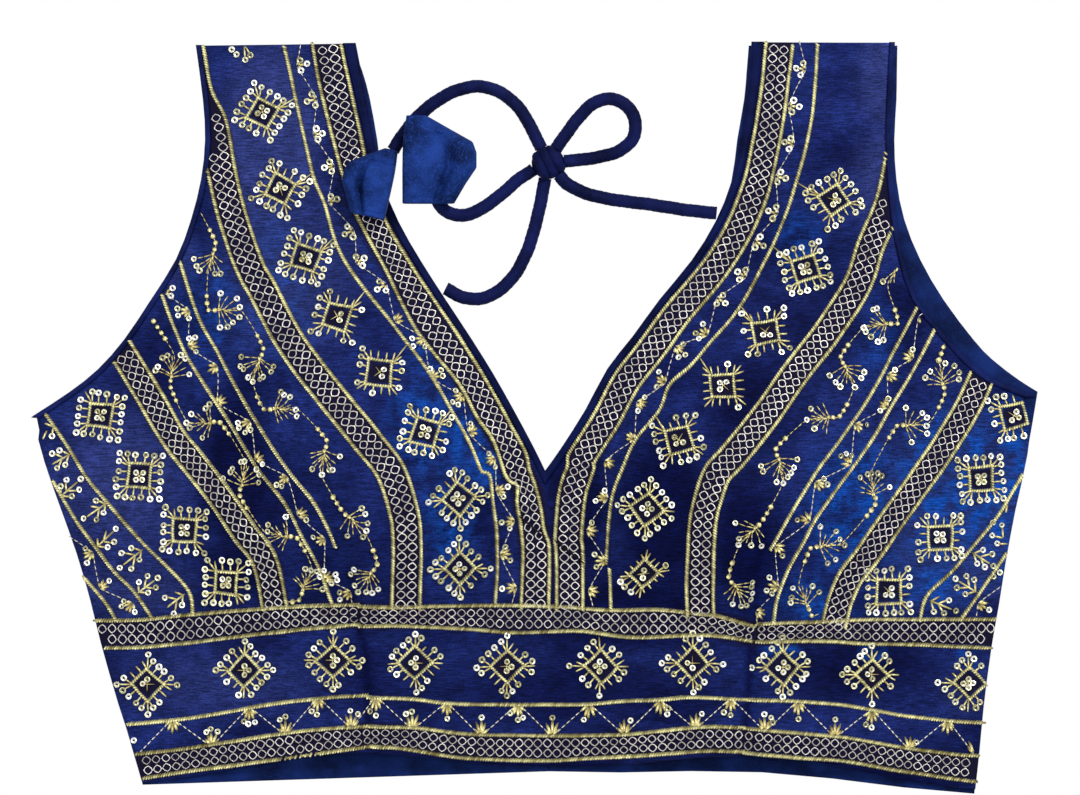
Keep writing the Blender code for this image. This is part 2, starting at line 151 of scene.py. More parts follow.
def thinned(line, every):
    return np.vstack([line[:-every // 2:every], line[-1:]])


def line_distance(x, y, line):
    """The distance from each point to a polyline."""
    nearest = np.full(np.shape(x), 1e9)
    for a, b in zip(line, line[1:]):
        run = b - a
        share = np.clip(((x - a[0]) * run[0] + (y - a[1]) * run[1]) / (run @ run), 0, 1)
        nearest = np.minimum(nearest, np.hypot(x - a[0] - share * run[0], y - a[1] - share * run[1]))
    return nearest


# ---- Meshes

EMBROIDERED = "embroidered_silk"
PLAIN = "plain_silk"
Shape = namedtuple("Shape", "points triangles")


def build_piece(name, points, triangles, material, slot, *nodes, sharp=None):
    """A piece that stands for its nodes, if any, shaded smooth but for edges over the sharp angle."""
    mesh = bpy.data.meshes.new(name)
    mesh.vertices.add(len(points))
    mesh.vertices.foreach_set("co", np.asarray(points * MM, np.float32).ravel())
    mesh.loops.add(3 * len(triangles))
    mesh.loops.foreach_set("vertex_index", np.asarray(triangles, np.int32).ravel())
    mesh.polygons.add(len(triangles))
    mesh.polygons.foreach_set("loop_start", np.arange(0, 3 * len(triangles), 3, dtype=np.int32))
    mesh.update(calc_edges=True)
    mesh.shade_smooth()
    if sharp is not None:
        mesh.set_sharp_from_angle(angle=math.radians(sharp))
    mesh.materials.append(material)
    item = add_object(name, mesh)
    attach(item, "root")
    if nodes:
        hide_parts(*nodes)
    return item


def paint(item, name, values):
    """Keeps one number for each point of a mesh, for its material to read."""
    layer = item.data.attributes.new(name, "FLOAT", "POINT")
    layer.data.foreach_set("value", np.asarray(values, np.float32))


def ring_triangles(rings, size, closed=False):
    """Triangles between rings of points, each of the same size. closed joins the last ring to the first."""
    low = size * np.arange(rings if closed else rings - 1)[:, None]
    high = (low + size) % (rings * size)
    k = np.arange(size)
    after = (k + 1) % size
    pairs = [[low + k, low + after, high + after], [low + k, high + after, high + k]]
    return np.moveaxis(np.array(pairs), (0, 1), (2, 3)).reshape(-1, 3)


def capped_rings(rings, sides):
    """Triangles for a row of rings with flat ends."""
    k = np.arange(1, sides - 1)
    last = (rings - 1) * sides
    return np.vstack([ring_triangles(rings, sides), columns(0, k + 1, k), last + columns(0, k, k + 1)])


def tip(point, ring):
    """Triangles from one point to a ring, all by number."""
    return columns(point, np.roll(ring, -1), ring)


def spindle(sides, stations):
    """A closed shape along X, one long and one across. stations give x and radius between its two tips."""
    x, radius = np.repeat(stations, sides, axis=0).T
    turn = np.tile(TURN * (np.arange(sides) + 0.5) / sides, len(stations))
    points = columns(x, radius * np.cos(turn), radius * np.sin(turn))
    count, ring = len(points), np.arange(sides)
    triangles = [ring_triangles(len(stations), sides)[:, ::-1], tip(count, ring)]
    triangles.append(tip(count + 1, (count - sides + ring)[::-1]))
    return Shape(np.vstack([points, (-0.5, 0, 0), (0.5, 0, 0)]), np.vstack(triangles))


def hoop(segments, section, between=1.0):
    """A closed ring about Z, one across. section lists radius and height round its wall, and between draws in every
    other segment."""
    points = []
    for k in range(segments):
        x, y = (between if k % 2 else 1.0) * ways([TURN * k / segments])[0]
        points += [(radius * x, radius * y, z) for radius, z in section]
    return Shape(np.array(points), ring_triangles(segments, len(section), closed=True))


STITCH = spindle(5, [(-0.38, 0.40), (0.32, 0.48)])
THREAD = spindle(4, [(-0.42, 0.4), (0, 0.5), (0.42, 0.4)])
PETAL = spindle(6, [(-0.3, 0.26), (0.05, 0.46), (0.32, 0.36)])
BEAD = spindle(6, [(-0.32, 0.36), (0, 0.5), (0.32, 0.36)])
RING = hoop(8, [(0.385, -0.2), (0.385, 0.6), (0.445, 1), (0.5, 0.6), (0.5, -0.2)], between=0.86)
SEQUIN = hoop(11, [(0.17, 0), (0.17, 0.35), (0.33, 0.45), (0.46, 1), (0.5, 0.7)])


class Batch:
    """Copies of small closed shapes, gathered into one piece."""

    def __init__(self):
        self.points, self.triangles, self.tints, self.count = [], [], [], 0

    def put(self, shape, origins, axes, sizes, tints):
        """A copy at each origin. axes holds each copy's X, Y and Z directions, and sizes its scale on each."""
        placed = np.einsum("nvk,nkj->nvj", shape.points * sizes[:, None], axes) + origins[:, None]
        corners = len(shape.points)
        starts = self.count + corners * np.arange(len(origins))
        self.points.append(placed.reshape(-1, 3))
        self.triangles.append((shape.triangles + starts[:, None, None]).reshape(-1, 3))
        self.tints.append(np.repeat(tints, corners))
        self.count += len(self.points[-1])

    def build(self, name, material):
        item = build_piece(name, np.vstack(self.points), np.vstack(self.triangles), material, EMBROIDERED)
        paint(item, "tint", np.concatenate(self.tints))
        return item


# ---- The form of the front, which every stitch is sewn on

BACK_WALL = 1.2
SEAM_GAP = 0.3
FRONT_WALL = 1.6
CUP_HEIGHT = 25.0
CUP_RADIUS_X = 92.0
CUP_RADIUS_Y = 104.0
HEM_ARCH_HEIGHT = 9.0
HEM_ARCH_HALF_WIDTH = 86.0
HEM_ARCH_TOP = 20.0
HEM_ARCH_RUN = 60.0
PIPING_RISE = 0.25
SLOPE_STEP = 0.5

# Each cup by its middle, and the x of its dart
CUPS = [(-81.3, -26.8, -77), (100.1, -28.2, 99)]

# A fold runs from one point to another, raised or sunk by its height
Fold = namedtuple("Fold", "x y end_x end_y height half_width")
FOLDS = rows(Fold, [
    (-92, -58, -82.2, -100.6, -2.2, 7), (-82.2, -100.6, -76.1, -156, -2.4, 7), (108.1, -61.1, 102, -103.9, -2.2, 7),
    (102, -103.9, 98, -158.4, -2.4, 7), (8, -57, 8, -90, -1.6, 6), (-196, -22, -182, -84, 3, 26),
    (198, -14, 190, -84, 3.2, 28), (-206, -19, -190, -10, 1.8, 8), (-122, 88, -118, 138, 1.8, 30),
    (130, 88, 132, 138, 1.8, 30),
])

# Soft creases in the cloth: at the darts' tips, out from the point of the V, in the straps and the sides
CREASES = rows(Fold, [
    (7.5, -55, 7.5, -92, -0.9, 3), (5, -56, -8, -46, -0.8, 4), (9, -57, 22, -67, -1, 4),
    (23, -67.5, 35, -71, -0.8, 3.6), (12, -52, 30, -58, 0.8, 6), (0, -62, -20, -58, 0.6, 6),
    (-86.5, -86, -81, -104, -0.8, 3), (-80, -106, -77.5, -152, -0.7, 2.6), (104.5, -88, 102, -104, -1.1, 3.4),
    (101.5, -106, 98, -154, -0.7, 2.6), (104, -97, 120, -93, -0.9, 4), (103, -99, 84, -95, -0.7, 4),
    (-96, -58, -110, -40, 0.7, 7), (-88, -60, -78, -44, -0.6, 6), (-206, -19, -191, -11, -0.9, 4),
    (-202, -26, -186, -19, 0.6, 5), (-122, 90, -102, 85, -0.6, 5), (-120, 83, -104, 79, 0.5, 4),
    (-135, 70, -126, 40, -0.6, 7), (-74, 12, -56, 1, 0.8, 5), (-78, 2, -62, -8, -0.6, 5),
    (-148, 30, -118, -24, -1.1, 10), (-116, -26, -102, -72, -0.9, 9), (-158, 8, -140, -30, 0.8, 9),
    (146, 34, 124, -12, -1, 9), (120, -20, 112, -56, -0.8, 7), (160, 24, 138, -20, 0.9, 9),
    (176, -6, 150, -52, -0.7, 8), (60, -40, 66, -78, -0.7, 8), (-28, -40, -32, -80, 0.8, 10),
    (-50, -70, -44, -88, -0.5, 5), (140, 100, 146, 128, -0.5, 7), (120, 84, 128, 60, -0.5, 6),
    (208, -30, 214, -62, -0.7, 7), (-214, -44, -204, -76, -0.7, 7), (-150, -112, -144, -136, -0.5, 6),
    (-30, -106, -36, -128, -0.5, 6), (52, -108, 58, -130, -0.5, 6), (150, -110, 146, -134, -0.5, 6),
])

# The cloth's own unevenness, small swells that cross each other: waves along X and Y, phase and height
SWELLS = [
    (0.098, 0.061, 0.4, 0.16), (-0.071, 0.118, 1.9, 0.15), (0.173, -0.092, 3.1, 0.1), (0.041, 0.214, 4.4, 0.09),
    (0.262, 0.133, 5.2, 0.06), (-0.231, 0.187, 0.9, 0.06),
]


def hump(distance):
    """1 in the middle, 0 from a distance of 1 outwards, level at both."""
    return np.maximum(0.0, 1 - distance * distance) ** 2


def fold_hump(fold, x, y, half_width):
    return hump(line_distance(x, y, np.reshape(fold[:4], (2, 2))) / half_width)


def fold_height(fold, x, y):
    return fold.height * fold_hump(fold, x, y, fold.half_width)


def rise(x, y):
    """How far the front stands above where it would lie flat on the back."""
    share = np.clip((HEM_ARCH_TOP - y) / HEM_ARCH_RUN, 0, 1)
    below_bust = share * share * (3 - 2 * share)
    height = 0.0
    for cup_x, cup_y, dart_x in CUPS:
        dome = CUP_HEIGHT * hump(np.hypot((x - cup_x) / CUP_RADIUS_X, (y - cup_y) / CUP_RADIUS_Y))
        arch = HEM_ARCH_HEIGHT * hump((x - dart_x) / HEM_ARCH_HALF_WIDTH) * below_bust
        height = height + np.cbrt(dome**3 + arch**3)
    moves = [fold_height(fold, x, y) for fold in FOLDS]
    return np.maximum(0.0, height + np.maximum.reduce(moves) + np.minimum.reduce(moves))


def slopes(height, x, y):
    """A height's slopes along X and along Y."""
    return [(height(x + a, y + b) - height(x - a, y - b)) / (2 * SLOPE_STEP)
            for a, b in ((SLOPE_STEP, 0), (0, SLOPE_STEP))]


def crease_height(x, y):
    lift = sum(fold_height(crease, x, y) for crease in CREASES)
    return lift + sum(height * np.sin(wave_x * x + wave_y * y + phase) for wave_x, wave_y, phase, height in SWELLS)


def front_top(x, y):
    """The height of the front's outer face."""
    slope_x, slope_y = slopes(rise, x, y)
    wall = FRONT_WALL * np.sqrt(1 + slope_x**2 + slope_y**2)
    lowest = BACK_WALL + FRONT_WALL
    return np.maximum(lowest, BACK_WALL + SEAM_GAP + rise(x, y) + wall + crease_height(x, y))


def front_under(x, y):
    return front_top(x, y) - 0.8 * FRONT_WALL


def piping_top(x, y):
    return front_top(x, y) + PIPING_RISE


def back_top(x, y):
    return np.full(np.shape(x), BACK_WALL)


def back_under(x, y):
    return np.zeros(np.shape(x))


# ---- Cloth shells, cut to the plan of their CAD nodes

CHUNK = 2000
DOWNWARD = -0.001


class Outline:
    """A node's edge as seen from above, as one closed loop of points, moved out by grow."""

    def __init__(self, node, step, grow=0.0):
        corners = plan_loop(node)
        spans = []
        for a, b in zip(corners, np.roll(corners, -1, axis=0)):
            count = max(1, math.ceil(np.linalg.norm(b - a) / step))
            spans.append(a + (b - a) * np.linspace(0, 1, count, endpoint=False)[:, None])
        self.loop = np.vstack(spans)
        self.loop = self.inset(-grow)
        self.tree = kdtree.KDTree(len(self.loop))
        for index, point in enumerate(self.loop):
            self.tree.insert((*point, 0), index)
        self.tree.balance()

    def inset(self, distance):
        """The loop moved in by a distance, with its corners kept sharp."""
        ahead = unit(np.roll(self.loop, -1, axis=0) - self.loop)
        step = unit(ahead + np.roll(ahead, 1, axis=0))
        reach = distance / np.clip((step * ahead).sum(axis=1), 0.5, 1.0)
        return self.loop + reach[:, None] * columns(-step[:, 1], step[:, 0])

    def depth(self, x, y):
        """How far inside the outline each point is, below 0 outside it."""
        distance = np.array([self.tree.find((a, b, 0))[2] for a, b in zip(x, y)])
        (ax, ay), (bx, by) = self.loop.T, np.roll(self.loop, -1, axis=0).T
        run = np.where(by == ay, 1.0, by - ay)
        inside = np.zeros(len(distance), bool)
        for part in range(0, len(x), CHUNK):
            px, py = x[part:part + CHUNK, None], y[part:part + CHUNK, None]
            crossed = ((ay > py) != (by > py)) & (px < ax + (bx - ax) * (py - ay) / run)
            inside[part:part + CHUNK] = crossed.sum(axis=1) % 2 == 1
        return np.where(inside, distance, -distance)


def plan_loop(node):
    """The loop round the downward faces of a node's mesh, anticlockwise from above."""
    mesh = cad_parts[node].data
    mesh.calc_loop_triangles()
    points = np.array([tuple(vertex.co) for vertex in mesh.vertices]) / MM
    edges = {}
    for triangle in mesh.loop_triangles:
        corners = points[list(triangle.vertices), :2]
        ahead, beside = corners[1:] - corners[0]
        if ahead[0] * beside[1] - ahead[1] * beside[0] > DOWNWARD:
            continue
        around = [tuple(corner) for corner in corners[::-1].round(2)]
        for a, b in zip(around, around[1:] + around[:1]):
            edges.setdefault(a, {})[b] = True
    border = {a: b for a, ends in edges.items() for b in ends if a not in edges.get(b, ())}
    loop = [next(iter(border))]
    while border[loop[-1]] != loop[0]:
        loop.append(border[loop[-1]])
    return np.array(loop)


# An edge's section: how far in from the cut, and how far below the top there
CUT_EDGE = [(0, 0.7), (0.35, 0.2), (0.9, 0)]
BINDING_EDGE = [(0, 0.9), (0.3, 0.3), (0.75, 0), (1.15, 0.22), (1.6, -0.05)]
PIPING_EDGE = [(0, 1), (0.25, 0.35), (0.6, -0.05)]
ROW_SHARE = 0.87


def cloth_shell(name, material, slot, node, spacing, edge, top, under, grow):
    """A closed thin shell over a node's plan, with its edge rounded by the drops that edge lists."""
    outline = Outline(node, 0.7 * spacing, grow)
    rings = [(outline.loop, edge[0][1])]
    for depth, drop in edge[1:]:
        ring = outline.inset(depth)
        rings.append((ring[outline.depth(*ring.T) > 0.8 * depth], drop))
    low, high = outline.loop.min(axis=0), outline.loop.max(axis=0)
    row = ROW_SHARE * spacing
    grid = np.meshgrid(np.arange(low[0], high[0], spacing), np.arange(low[1], high[1], row))
    x, y = (part.ravel() for part in grid)
    x = x + 0.5 * spacing * (np.round((y - low[1]) / row) % 2)
    kept = outline.depth(x, y) > edge[-1][0] + 0.55 * spacing
    rings.append((columns(x, y)[kept], 0.0))
    drops = np.concatenate([np.full(len(ring), drop) for ring, drop in rings])
    flat = [Vector(point) for ring, _ in rings for point in ring]
    found = delaunay_2d_cdt(flat, [], [list(range(len(outline.loop)))], 1, 1e-5)
    plan, triangles = np.array([tuple(point) for point in found[0]]), np.array(found[2])
    source = [sources[0] if sources else 0 for sources in found[3]]
    a, b, c = (plan[corner] for corner in triangles.T)
    over = (b[:, 0] - a[:, 0]) * (c[:, 1] - a[:, 1]) < (b[:, 1] - a[:, 1]) * (c[:, 0] - a[:, 0])
    triangles[over] = triangles[over, ::-1]
    x, y = plan.T
    points = np.vstack([columns(x, y, top(x, y) - drops[source]), columns(x, y, under(x, y))])
    edges = {(t[k], t[(k + 1) % 3]) for t in triangles.tolist() for k in range(3)}
    count = len(plan)
    first, second = np.array([(a, b) for a, b in sorted(edges) if (b, a) not in edges]).T
    walls = [columns(second, first, first + count), columns(second, first + count, second + count)]
    faces = np.vstack([triangles, triangles[:, ::-1] + count, *walls])
    return build_piece(name, points, faces, material, slot, node, sharp=50)


# ---- The embroidery's layout

ROPES = {
    "left panel inner": [(-118.4, 177.5), (-113.7, 156.5), (-109, 135.4), (-104.3, 114.2), (-98.7, 100.1),
        (-93.1, 81.3), (-83.2, 64.9), (-65.3, 42.3), (-49.3, 20.7), (-39.9, 5.2), (-30.5, -11.8), (-25.4, -24)],
    "left panel inner foot": [(-24.6, -25), (-21.1, -27.2), (-19.7, -39.5), (-17.9, -55), (-17.9, -72.8),
        (-18.8, -87.5)],
    "right panel inner": [(133, 177.5), (129.7, 140.1), (123.1, 112.3), (116.1, 91.2), (103.4, 64.9), (94, 49.3),
        (81.8, 34.8), (72.4, 24), (63, 15.5), (58.3, 3.8), (47.5, -9.4), (41.4, -22.6), (35.7, -39.9), (33.4, -68.1)],
    "right panel inner foot": [(35, -71), (35.7, -90.5)],
    "left side high": [(-168.4, 80), (-164, 64.9), (-157.9, 47), (-149.5, 31.5), (-138.7, 12.2), (-126.9, -7),
        (-114.7, -24.9), (-103.9, -38.1), (-96.8, -50.3), (-93.1, -60)],
    "left side low": [(-177.5, 64), (-168.7, 40.9), (-162.6, 27.7), (-151.8, 10.8), (-141, -5.6), (-129.2, -24),
        (-116.1, -40.4), (-108.6, -55), (-100.6, -70.5), (-94.5, -87.5)],
    "right side high": [(184, 61), (166.4, 27.3), (156, 8.9), (143.8, -8), (131.1, -24.9), (119.8, -43.2),
        (110, -61.1)],
    "right side low": [(195, 56), (179.1, 24.9), (168.7, 8), (157.4, -10.3), (141.5, -32), (131.1, -46.5),
        (125.5, -57.3), (118.4, -70), (113.3, -83.2), (111.4, -95.5)],
    "left corner outer": [(-232, 5), (-220.4, -11.8), (-210.6, -27.3), (-199.8, -40.4), (-186.6, -55.9),
        (-173.4, -69.1), (-162.6, -81.3), (-160.3, -92.5)],
    "left corner inner": [(-226, -30), (-215.7, -47.9), (-205.9, -61.1), (-196.5, -72.8), (-188, -81.3),
        (-179.5, -94)],
    "left corner last": [(-214, -72), (-202.1, -86), (-196.5, -95)],
    "right corner outer": [(230, -25), (216.7, -46.5), (206.3, -59.2), (196, -71.4), (184.2, -83.2), (180.5, -95)],
    "right corner inner": [(223, -61), (208.7, -81.8), (199.8, -94.5)],
    "hem left": [(-194.5, -144), (-167.3, -141.5), (-143.3, -137.7), (-119.4, -133.5), (-95.4, -130.7),
        (-78.6, -129.7)],
    "hem middle": [(-78, -130.7), (-56.4, -131.6), (-38.5, -133.9), (-14.6, -134.4), (21.6, -134.4), (39.5, -133),
        (57.3, -132.1), (73.3, -130.7), (96.6, -131.6)],
    "hem right": [(97.6, -131.8), (118.4, -132.5), (144.3, -134.4), (170.1, -139.1), (196, -142.4), (210.5, -143.1)],
}

# The neck's edge, from each strap down to the V
NECK_LEFT = [
    (-84.5, 175.8), (-79.5, 150.4), (-75.7, 130.7), (-71.9, 110.9), (-64.4, 92.1), (-54, 73.8), (-42.3, 55.5),
    (-30.5, 37.6), (-20.2, 21.1), (-10.4, 3.8), (-0.8, -14.1),
]
NECK_RIGHT = [
    (102, 176.4), (99.6, 150.4), (96.8, 130.7), (92.6, 110.9), (85.1, 92.1), (73.8, 73.8), (58.8, 55.5), (46.1, 38.1),
    (34.3, 23), (24, 3.8), (12.7, -14.1),
]


# The rope inside it, farther in at the strap, where the binding is wider
INSET_HEIGHTS = (60.0, 176.0)
INSETS = (4.2, 6.5)


def beside_neck(edge, side):
    edge = np.array(edge)
    return offset_line(edge, side * np.interp(edge[:, 1], INSET_HEIGHTS, INSETS))


# A band of linked rings lies between two ropes. beside is the other rope: a distance to the left of the first
# one's travel, or a line of its own.
Band = namedtuple("Band", "points beside shade", defaults=(0.0,))
DULL = -0.16
BANDS = {
    "left princess": Band([(-156.2, 177.5), (-151.8, 154.2), (-145.2, 140.1), (-141, 118.9), (-136.8, 100.1),
        (-128.3, 74.3), (-122.7, 63.9), (-109, 39), (-90.2, 14.6), (-73.3, -6.1), (-61.6, -21.6), (-55, -40.9),
        (-53.1, -55.9), (-54, -89.4)], -12.9),
    "left neck": Band([*beside_neck(NECK_LEFT, -1), (-3.2, -22.5), (0, -32), (2.8, -42.8), (4.2, -52.6), (6.2, -58),
        (6.8, -66.7), (6.6, -89.2)], [
        (-104.3, 175.3), (-100.6, 154.2), (-94.9, 131.1), (-87.9, 105.8), (-81.8, 91.6), (-69.6, 68.6), (-55.5, 40.9),
        (-36.2, 16.9), (-26.8, 0), (-19.7, -10.3), (-13.6, -27.7), (-8.5, -31.5), (-8.5, -39.9), (-6.6, -51.7),
        (-5.6, -66.7), (-6.6, -89.2)]),
    "right neck": Band([*beside_neck(NECK_RIGHT, 1), (15.4, -22.5), (12.7, -29.6), (10.8, -39.5), (9.4, -56.9),
        (10, -64), (10.2, -90.2)], 12.4),
    "right princess": Band([(168, 178), (166.8, 149.5), (164, 119.8), (159.3, 100.6), (151.8, 82.7), (145.7, 64.9),
        (132.5, 44.6), (118, 26.3), (103.4, 6.1), (87.9, -13.2), (79.4, -22.6), (74.7, -35.7), (71.9, -50.3),
        (71, -76.6), (71.4, -92.4)], 12.2),
    "left side": Band([(-203, 35), (-196.9, 25.4), (-186.6, 8.5), (-174.8, -11.8), (-165, -24), (-151.8, -40.4),
        (-140.1, -57.3), (-131.6, -69.1), (-127.4, -90)], 11.4),
    "right side": Band([(215, 40), (206.3, 24.9), (198.3, 8), (185.6, -12.7), (173.4, -29.6), (161.7, -45.6),
        (150.4, -61.6), (142.9, -71.4), (137.7, -83.2), (134.4, -95.5)], 11.2),
    "waist left": Band([(-206.4, -95.2), (-184.2, -94.5), (-160.3, -92.1), (-131.6, -89.8), (-107.6, -87.9),
        (-82.6, -87.2)], [
        (-204, -107.8), (-184.2, -107.6), (-160.3, -105.3), (-131.6, -101.5), (-107.6, -98.7), (-82.4, -96.6)], DULL),
    "waist middle": Band([(-82, -87.8), (-62.5, -88.4), (-26.3, -87.9), (9.4, -88.4), (33.4, -90.2), (57.3, -89.8),
        (77.5, -91.6), (86, -92.4), (103, -97.7)], [
        (-81.8, -97.2), (-62.5, -97.3), (-33.8, -98.7), (-8.5, -100.6), (21.6, -100.1), (45.6, -102.9),
        (74.7, -101.4), (90.2, -102.5), (102, -104.6)], DULL),
    "waist right": Band([(103.9, -96.4), (131.1, -95.4), (157, -94.5), (217, -94.5)], [
        (104, -104.8), (131.1, -104.3), (157, -105.8), (182.8, -106.6), (215, -108.1)], DULL),
    "hem left": Band([(-190.5, -158.2), (-167.3, -155.6), (-143.3, -151.8), (-119.4, -148), (-95.4, -145.2),
        (-76.7, -144.3)], [
        (-187, -169.6), (-155.6, -164.8), (-119.4, -159.8), (-95.4, -156.2), (-76.3, -153.6)], DULL),
    "hem middle": Band([(-76.8, -144.3), (-56.4, -144.9), (-32.4, -148), (-8.5, -149), (21.6, -149), (45.6, -148),
        (79.9, -144.5), (97.4, -144.9)], [
        (-76.5, -153.8), (-62.5, -154.6), (-38.5, -158.5), (-14.6, -160.4), (9.4, -160.8), (33.4, -159.2),
        (57.3, -157.6), (79.9, -155.8), (97.4, -156.2)], DULL),
    "hem right": Band([(97.9, -145.2), (118.4, -147.1), (144.3, -149.5), (170.1, -154.2), (196, -157.9),
        (209, -158.6)], [
        (97.9, -156.6), (118.4, -158.4), (144.3, -160.8), (170.1, -165.4), (196, -169.2), (208, -170.8)], DULL),
}

# Squares of zari set round with sequins, each by its middle and turn in degrees. present is the share of its
# sequins that are left, and squash draws a square in along its own Y.
Square = namedtuple("Square", "x y turn present squash", defaults=(0.85, 1.0))
SQUARES = rows(Square, [
    (-136.5, 181.9, 45), (-127.8, 143.4, -30), (-119.4, 107.3, -29, 0.9), (-107.6, 75.2, -20, 0.95),
    (-92.6, 47.5, -15, 0.5), (-72.4, 21.2, -8, 0.3), (-51.2, -6.4, -15, 0.7), (-36.2, -37.6, -40), (-35.3, -70.5, 45),
    (-204, 1.4, -10, 0.95), (-185.7, -27.3, -4, 0.95), (-164.5, -52.6, -4, 0.9), (-144.8, -77.1, -3),
    (140.3, 102.4, 31, 0.8), (126.7, 70, 18, 0.9), (107.9, 40.2, 9, 0.55), (87.9, 15, 3, 0.2), (67.2, -10.2, 15, 0.6),
    (52.6, -42.3, 38, 0.9), (50.8, -72.9, 45, 0.25, 0.75), (224.9, 1, 14, 0.75), (209.2, -28.7, 6, 0.95),
    (189.9, -55.9, 3, 0.8), (165.9, -81.3, 2, 0.75),
])
DIAMONDS = [Square(x, y, 45, 0.68) for x, y in [
    (-181.9, -125), (-136.3, -118.4), (-94.5, -113.3), (-55.9, -114.7), (-13.2, -116.6), (30.5, -116.6),
    (73.8, -114.7), (116.1, -116.6), (157.9, -120.3), (203.5, -124.5),
]]

# A chain enters, leaves (or stops), and runs through its sprays in turn: each opens along its heading from its
# foot, and its spokes spread to either side of that, all in degrees
Spray = namedtuple("Spray", "x y heading spread spokes", defaults=(76, 9))
CHAINS = {
    "left front": ((-157, 96.5), None, [(-151.1, 77.6, -103, 60, 8), (-148.6, 50.8, -6, 84), (-128.8, 28.2, -107),
        (-121.8, 4.3, -2), (-97.8, -14.8, -98, 72, 10), (-86.7, -45.6, -45, 80, 8), (-76.2, -71.6, -122, 72)]),
    "left side": ((-116, -86), (-179.9, 46.8), [(-108.4, -80.4, 68, 68), (-115.2, -55.3, 168, 78),
        (-136.8, -31.8, 82), (-151.7, -2.5, 176, 86), (-170.5, 19, 86)]),
    "right front": ((170.6, 74), None, [(170.6, 72, -116, 22, 3), (165.4, 44.4, -170, 70), (145, 24.4, -70),
        (137.4, 0.3, -172, 70), (113.2, -18.7, -80), (102.8, -50.5, -132), (92.9, -77.6, -60, 74)]),
    "right side": ((133, -91.5), (193.2, 37.9), [(127.4, -87.8, 112, 60, 8), (132.8, -60.1, 12, 80, 8),
        (158.2, -36, 94, 74), (173.7, -3.8, 8, 82, 8), (191.4, 15.6, 98, 80)]),
}

# A zigzag of running stitch, with a bud inside each bend: the side of its first bend, 1 for the left of its travel,
# the height it ends at, and its buds
ZIGZAGS = {
    "left neck": (-1, -86.8, [(-108.6, 165.9), (-105.3, 149), (-101, 133.5), (-97.3, 117.5), (-94, 102),
        (-87.9, 86.9), (-81.3, 74.3), (-72.4, 61.1), (-63, 47), (-54.5, 35.7), (-46.1, 20.7), (-36.2, 8.9),
        (-28.2, -5.6), (-21.6, -20.2), (-15.1, -33.5), (-12.8, -48.5), (-13.2, -63.9), (-11.8, -79.8)]),
    "right neck": (1, -88.4, [(124, 164), (122, 146), (118.5, 129), (116, 112.5), (110.9, 96.8), (105.8, 81.8),
        (96.3, 67.7), (87.9, 54.5), (78.3, 40.6), (68.2, 31.2), (58.4, 18.2), (50.6, 6.1), (43.9, -8.5),
        (35.6, -21.6), (31, -37), (27.4, -53), (30.2, -67), (28.2, -81.6)]),
    "left side": (-1, -86.6, [(-171.1, 60.2), (-165, 49.3), (-159.8, 34.8), (-151.8, 23), (-146.2, 8.5),
        (-135.8, -3.3), (-127.8, -17.9), (-118, -29.1), (-107.6, -43.7), (-100.6, -57.3), (-95.4, -73.9),
        (-88.6, -82.9)]),
    "right side": (-1, -95.2, [(183, 46.1), (174.7, 29.4), (168, 18.8), (162.6, 6.7), (152, -4.7), (144.8, -19.8),
        (133, -31.6), (125.2, -46.3), (114.8, -61), (110.6, -78), (106.4, -91.4)]),
    "left corner": (1, -92.6, [(-210.2, -64.9), (-201.8, -78), (-190.9, -88.9)]),
    "right corner": (1, -93.6, [(218, -76), (210.6, -88.6)]),
}

# A sprig grows from a rope at x, y and a heading. Its stalks leave its stem at a distance from its foot, and end at
# a reach and an angle from the foot.
SPRIGS = [
    (-225, -3.5, -150), (-217.5, -16.6, -155), (-200.3, -39.6, -148), (-183.6, -61.5, -144), (-164.2, -82.4, -145),
    (-223.3, -37.5, 44), (-206, -61, 39), (-186.7, -82.4, 41), (221, -39.5, -50), (222.5, -60, 127),
    (204.7, -63, -28), (207.5, -82, 146), (184.6, -85.4, -22),
]
STALKS = [
    (0, 11.8, 0), (1.2, 5.2, 40), (1.2, 5.2, -40), (4.6, 9, 21), (4.6, 9, -21),
]

# The border above the hem: running stitch from foot to foot, with a palmette at each
PALMETTES_UP = [
    (-188, -159.5), (-151.8, -154.2), (-117, -148.6), (-86, -145.2), (-57.3, -145.8), (-25.4, -149.2), (8, -149.6),
    (41.8, -148.6), (75.2, -145.6), (107.6, -146.6), (140.5, -149.8), (175.8, -156), (206.2, -158),
]
PALMETTES_DOWN = [
    (-170.1, -141.2), (-133.9, -135.4), (-101.5, -130.6), (-74.3, -130.2), (-41.4, -133), (-8, -134), (25.4, -134),
    (58.8, -132), (91.6, -131), (123.1, -132.2), (157.9, -136.6), (193.6, -141.6),
]

# Two dark stitches that pucker the bands beside the V's point. Their near-black colour also paints the shadow of the
# fold they make.
PUCKERS = [((-8.6, -45.2), (6.4, -57.6)), ((8.6, -57.0), (23.6, -68.6))]

# ---- Sewing

ROPE_WIDTH = 2.15
ROPE_PITCH = 1.2
ROPE_LAY = math.radians(36)
RING_PITCH = 4.5
RING_ROW = 2.4
RING_ALONG = 4.5
RING_ACROSS = 4.8
BAND_HALF = 6.2
SEQUIN_SIZE = 3.2
CORNERS = np.array([(-1, -1), (1, -1), (1, 1), (-1, 1)])
SQUARE_HALF = 5.4
SPOKE_REACH = 10.1
SPOKE_STARTS, SPOKE_TIPS = (np.vstack([turned(side, 0, 0, 90 * quarter) for quarter in range(4)]) for side in (
    [(-1.9, SQUARE_HALF), (1.9, SQUARE_HALF), (4.9, SQUARE_HALF), (5.2, 5.2), (SQUARE_HALF, 4.9)],
    [(-2, SPOKE_REACH), (2, SPOKE_REACH), (6, SPOKE_REACH), (9.8, 9.8), (SPOKE_REACH, 6)],
))
CROSS = [(-2.6, -2.4), (2.5, 2.6), (-2.5, 2.6), (2.6, -2.5)]
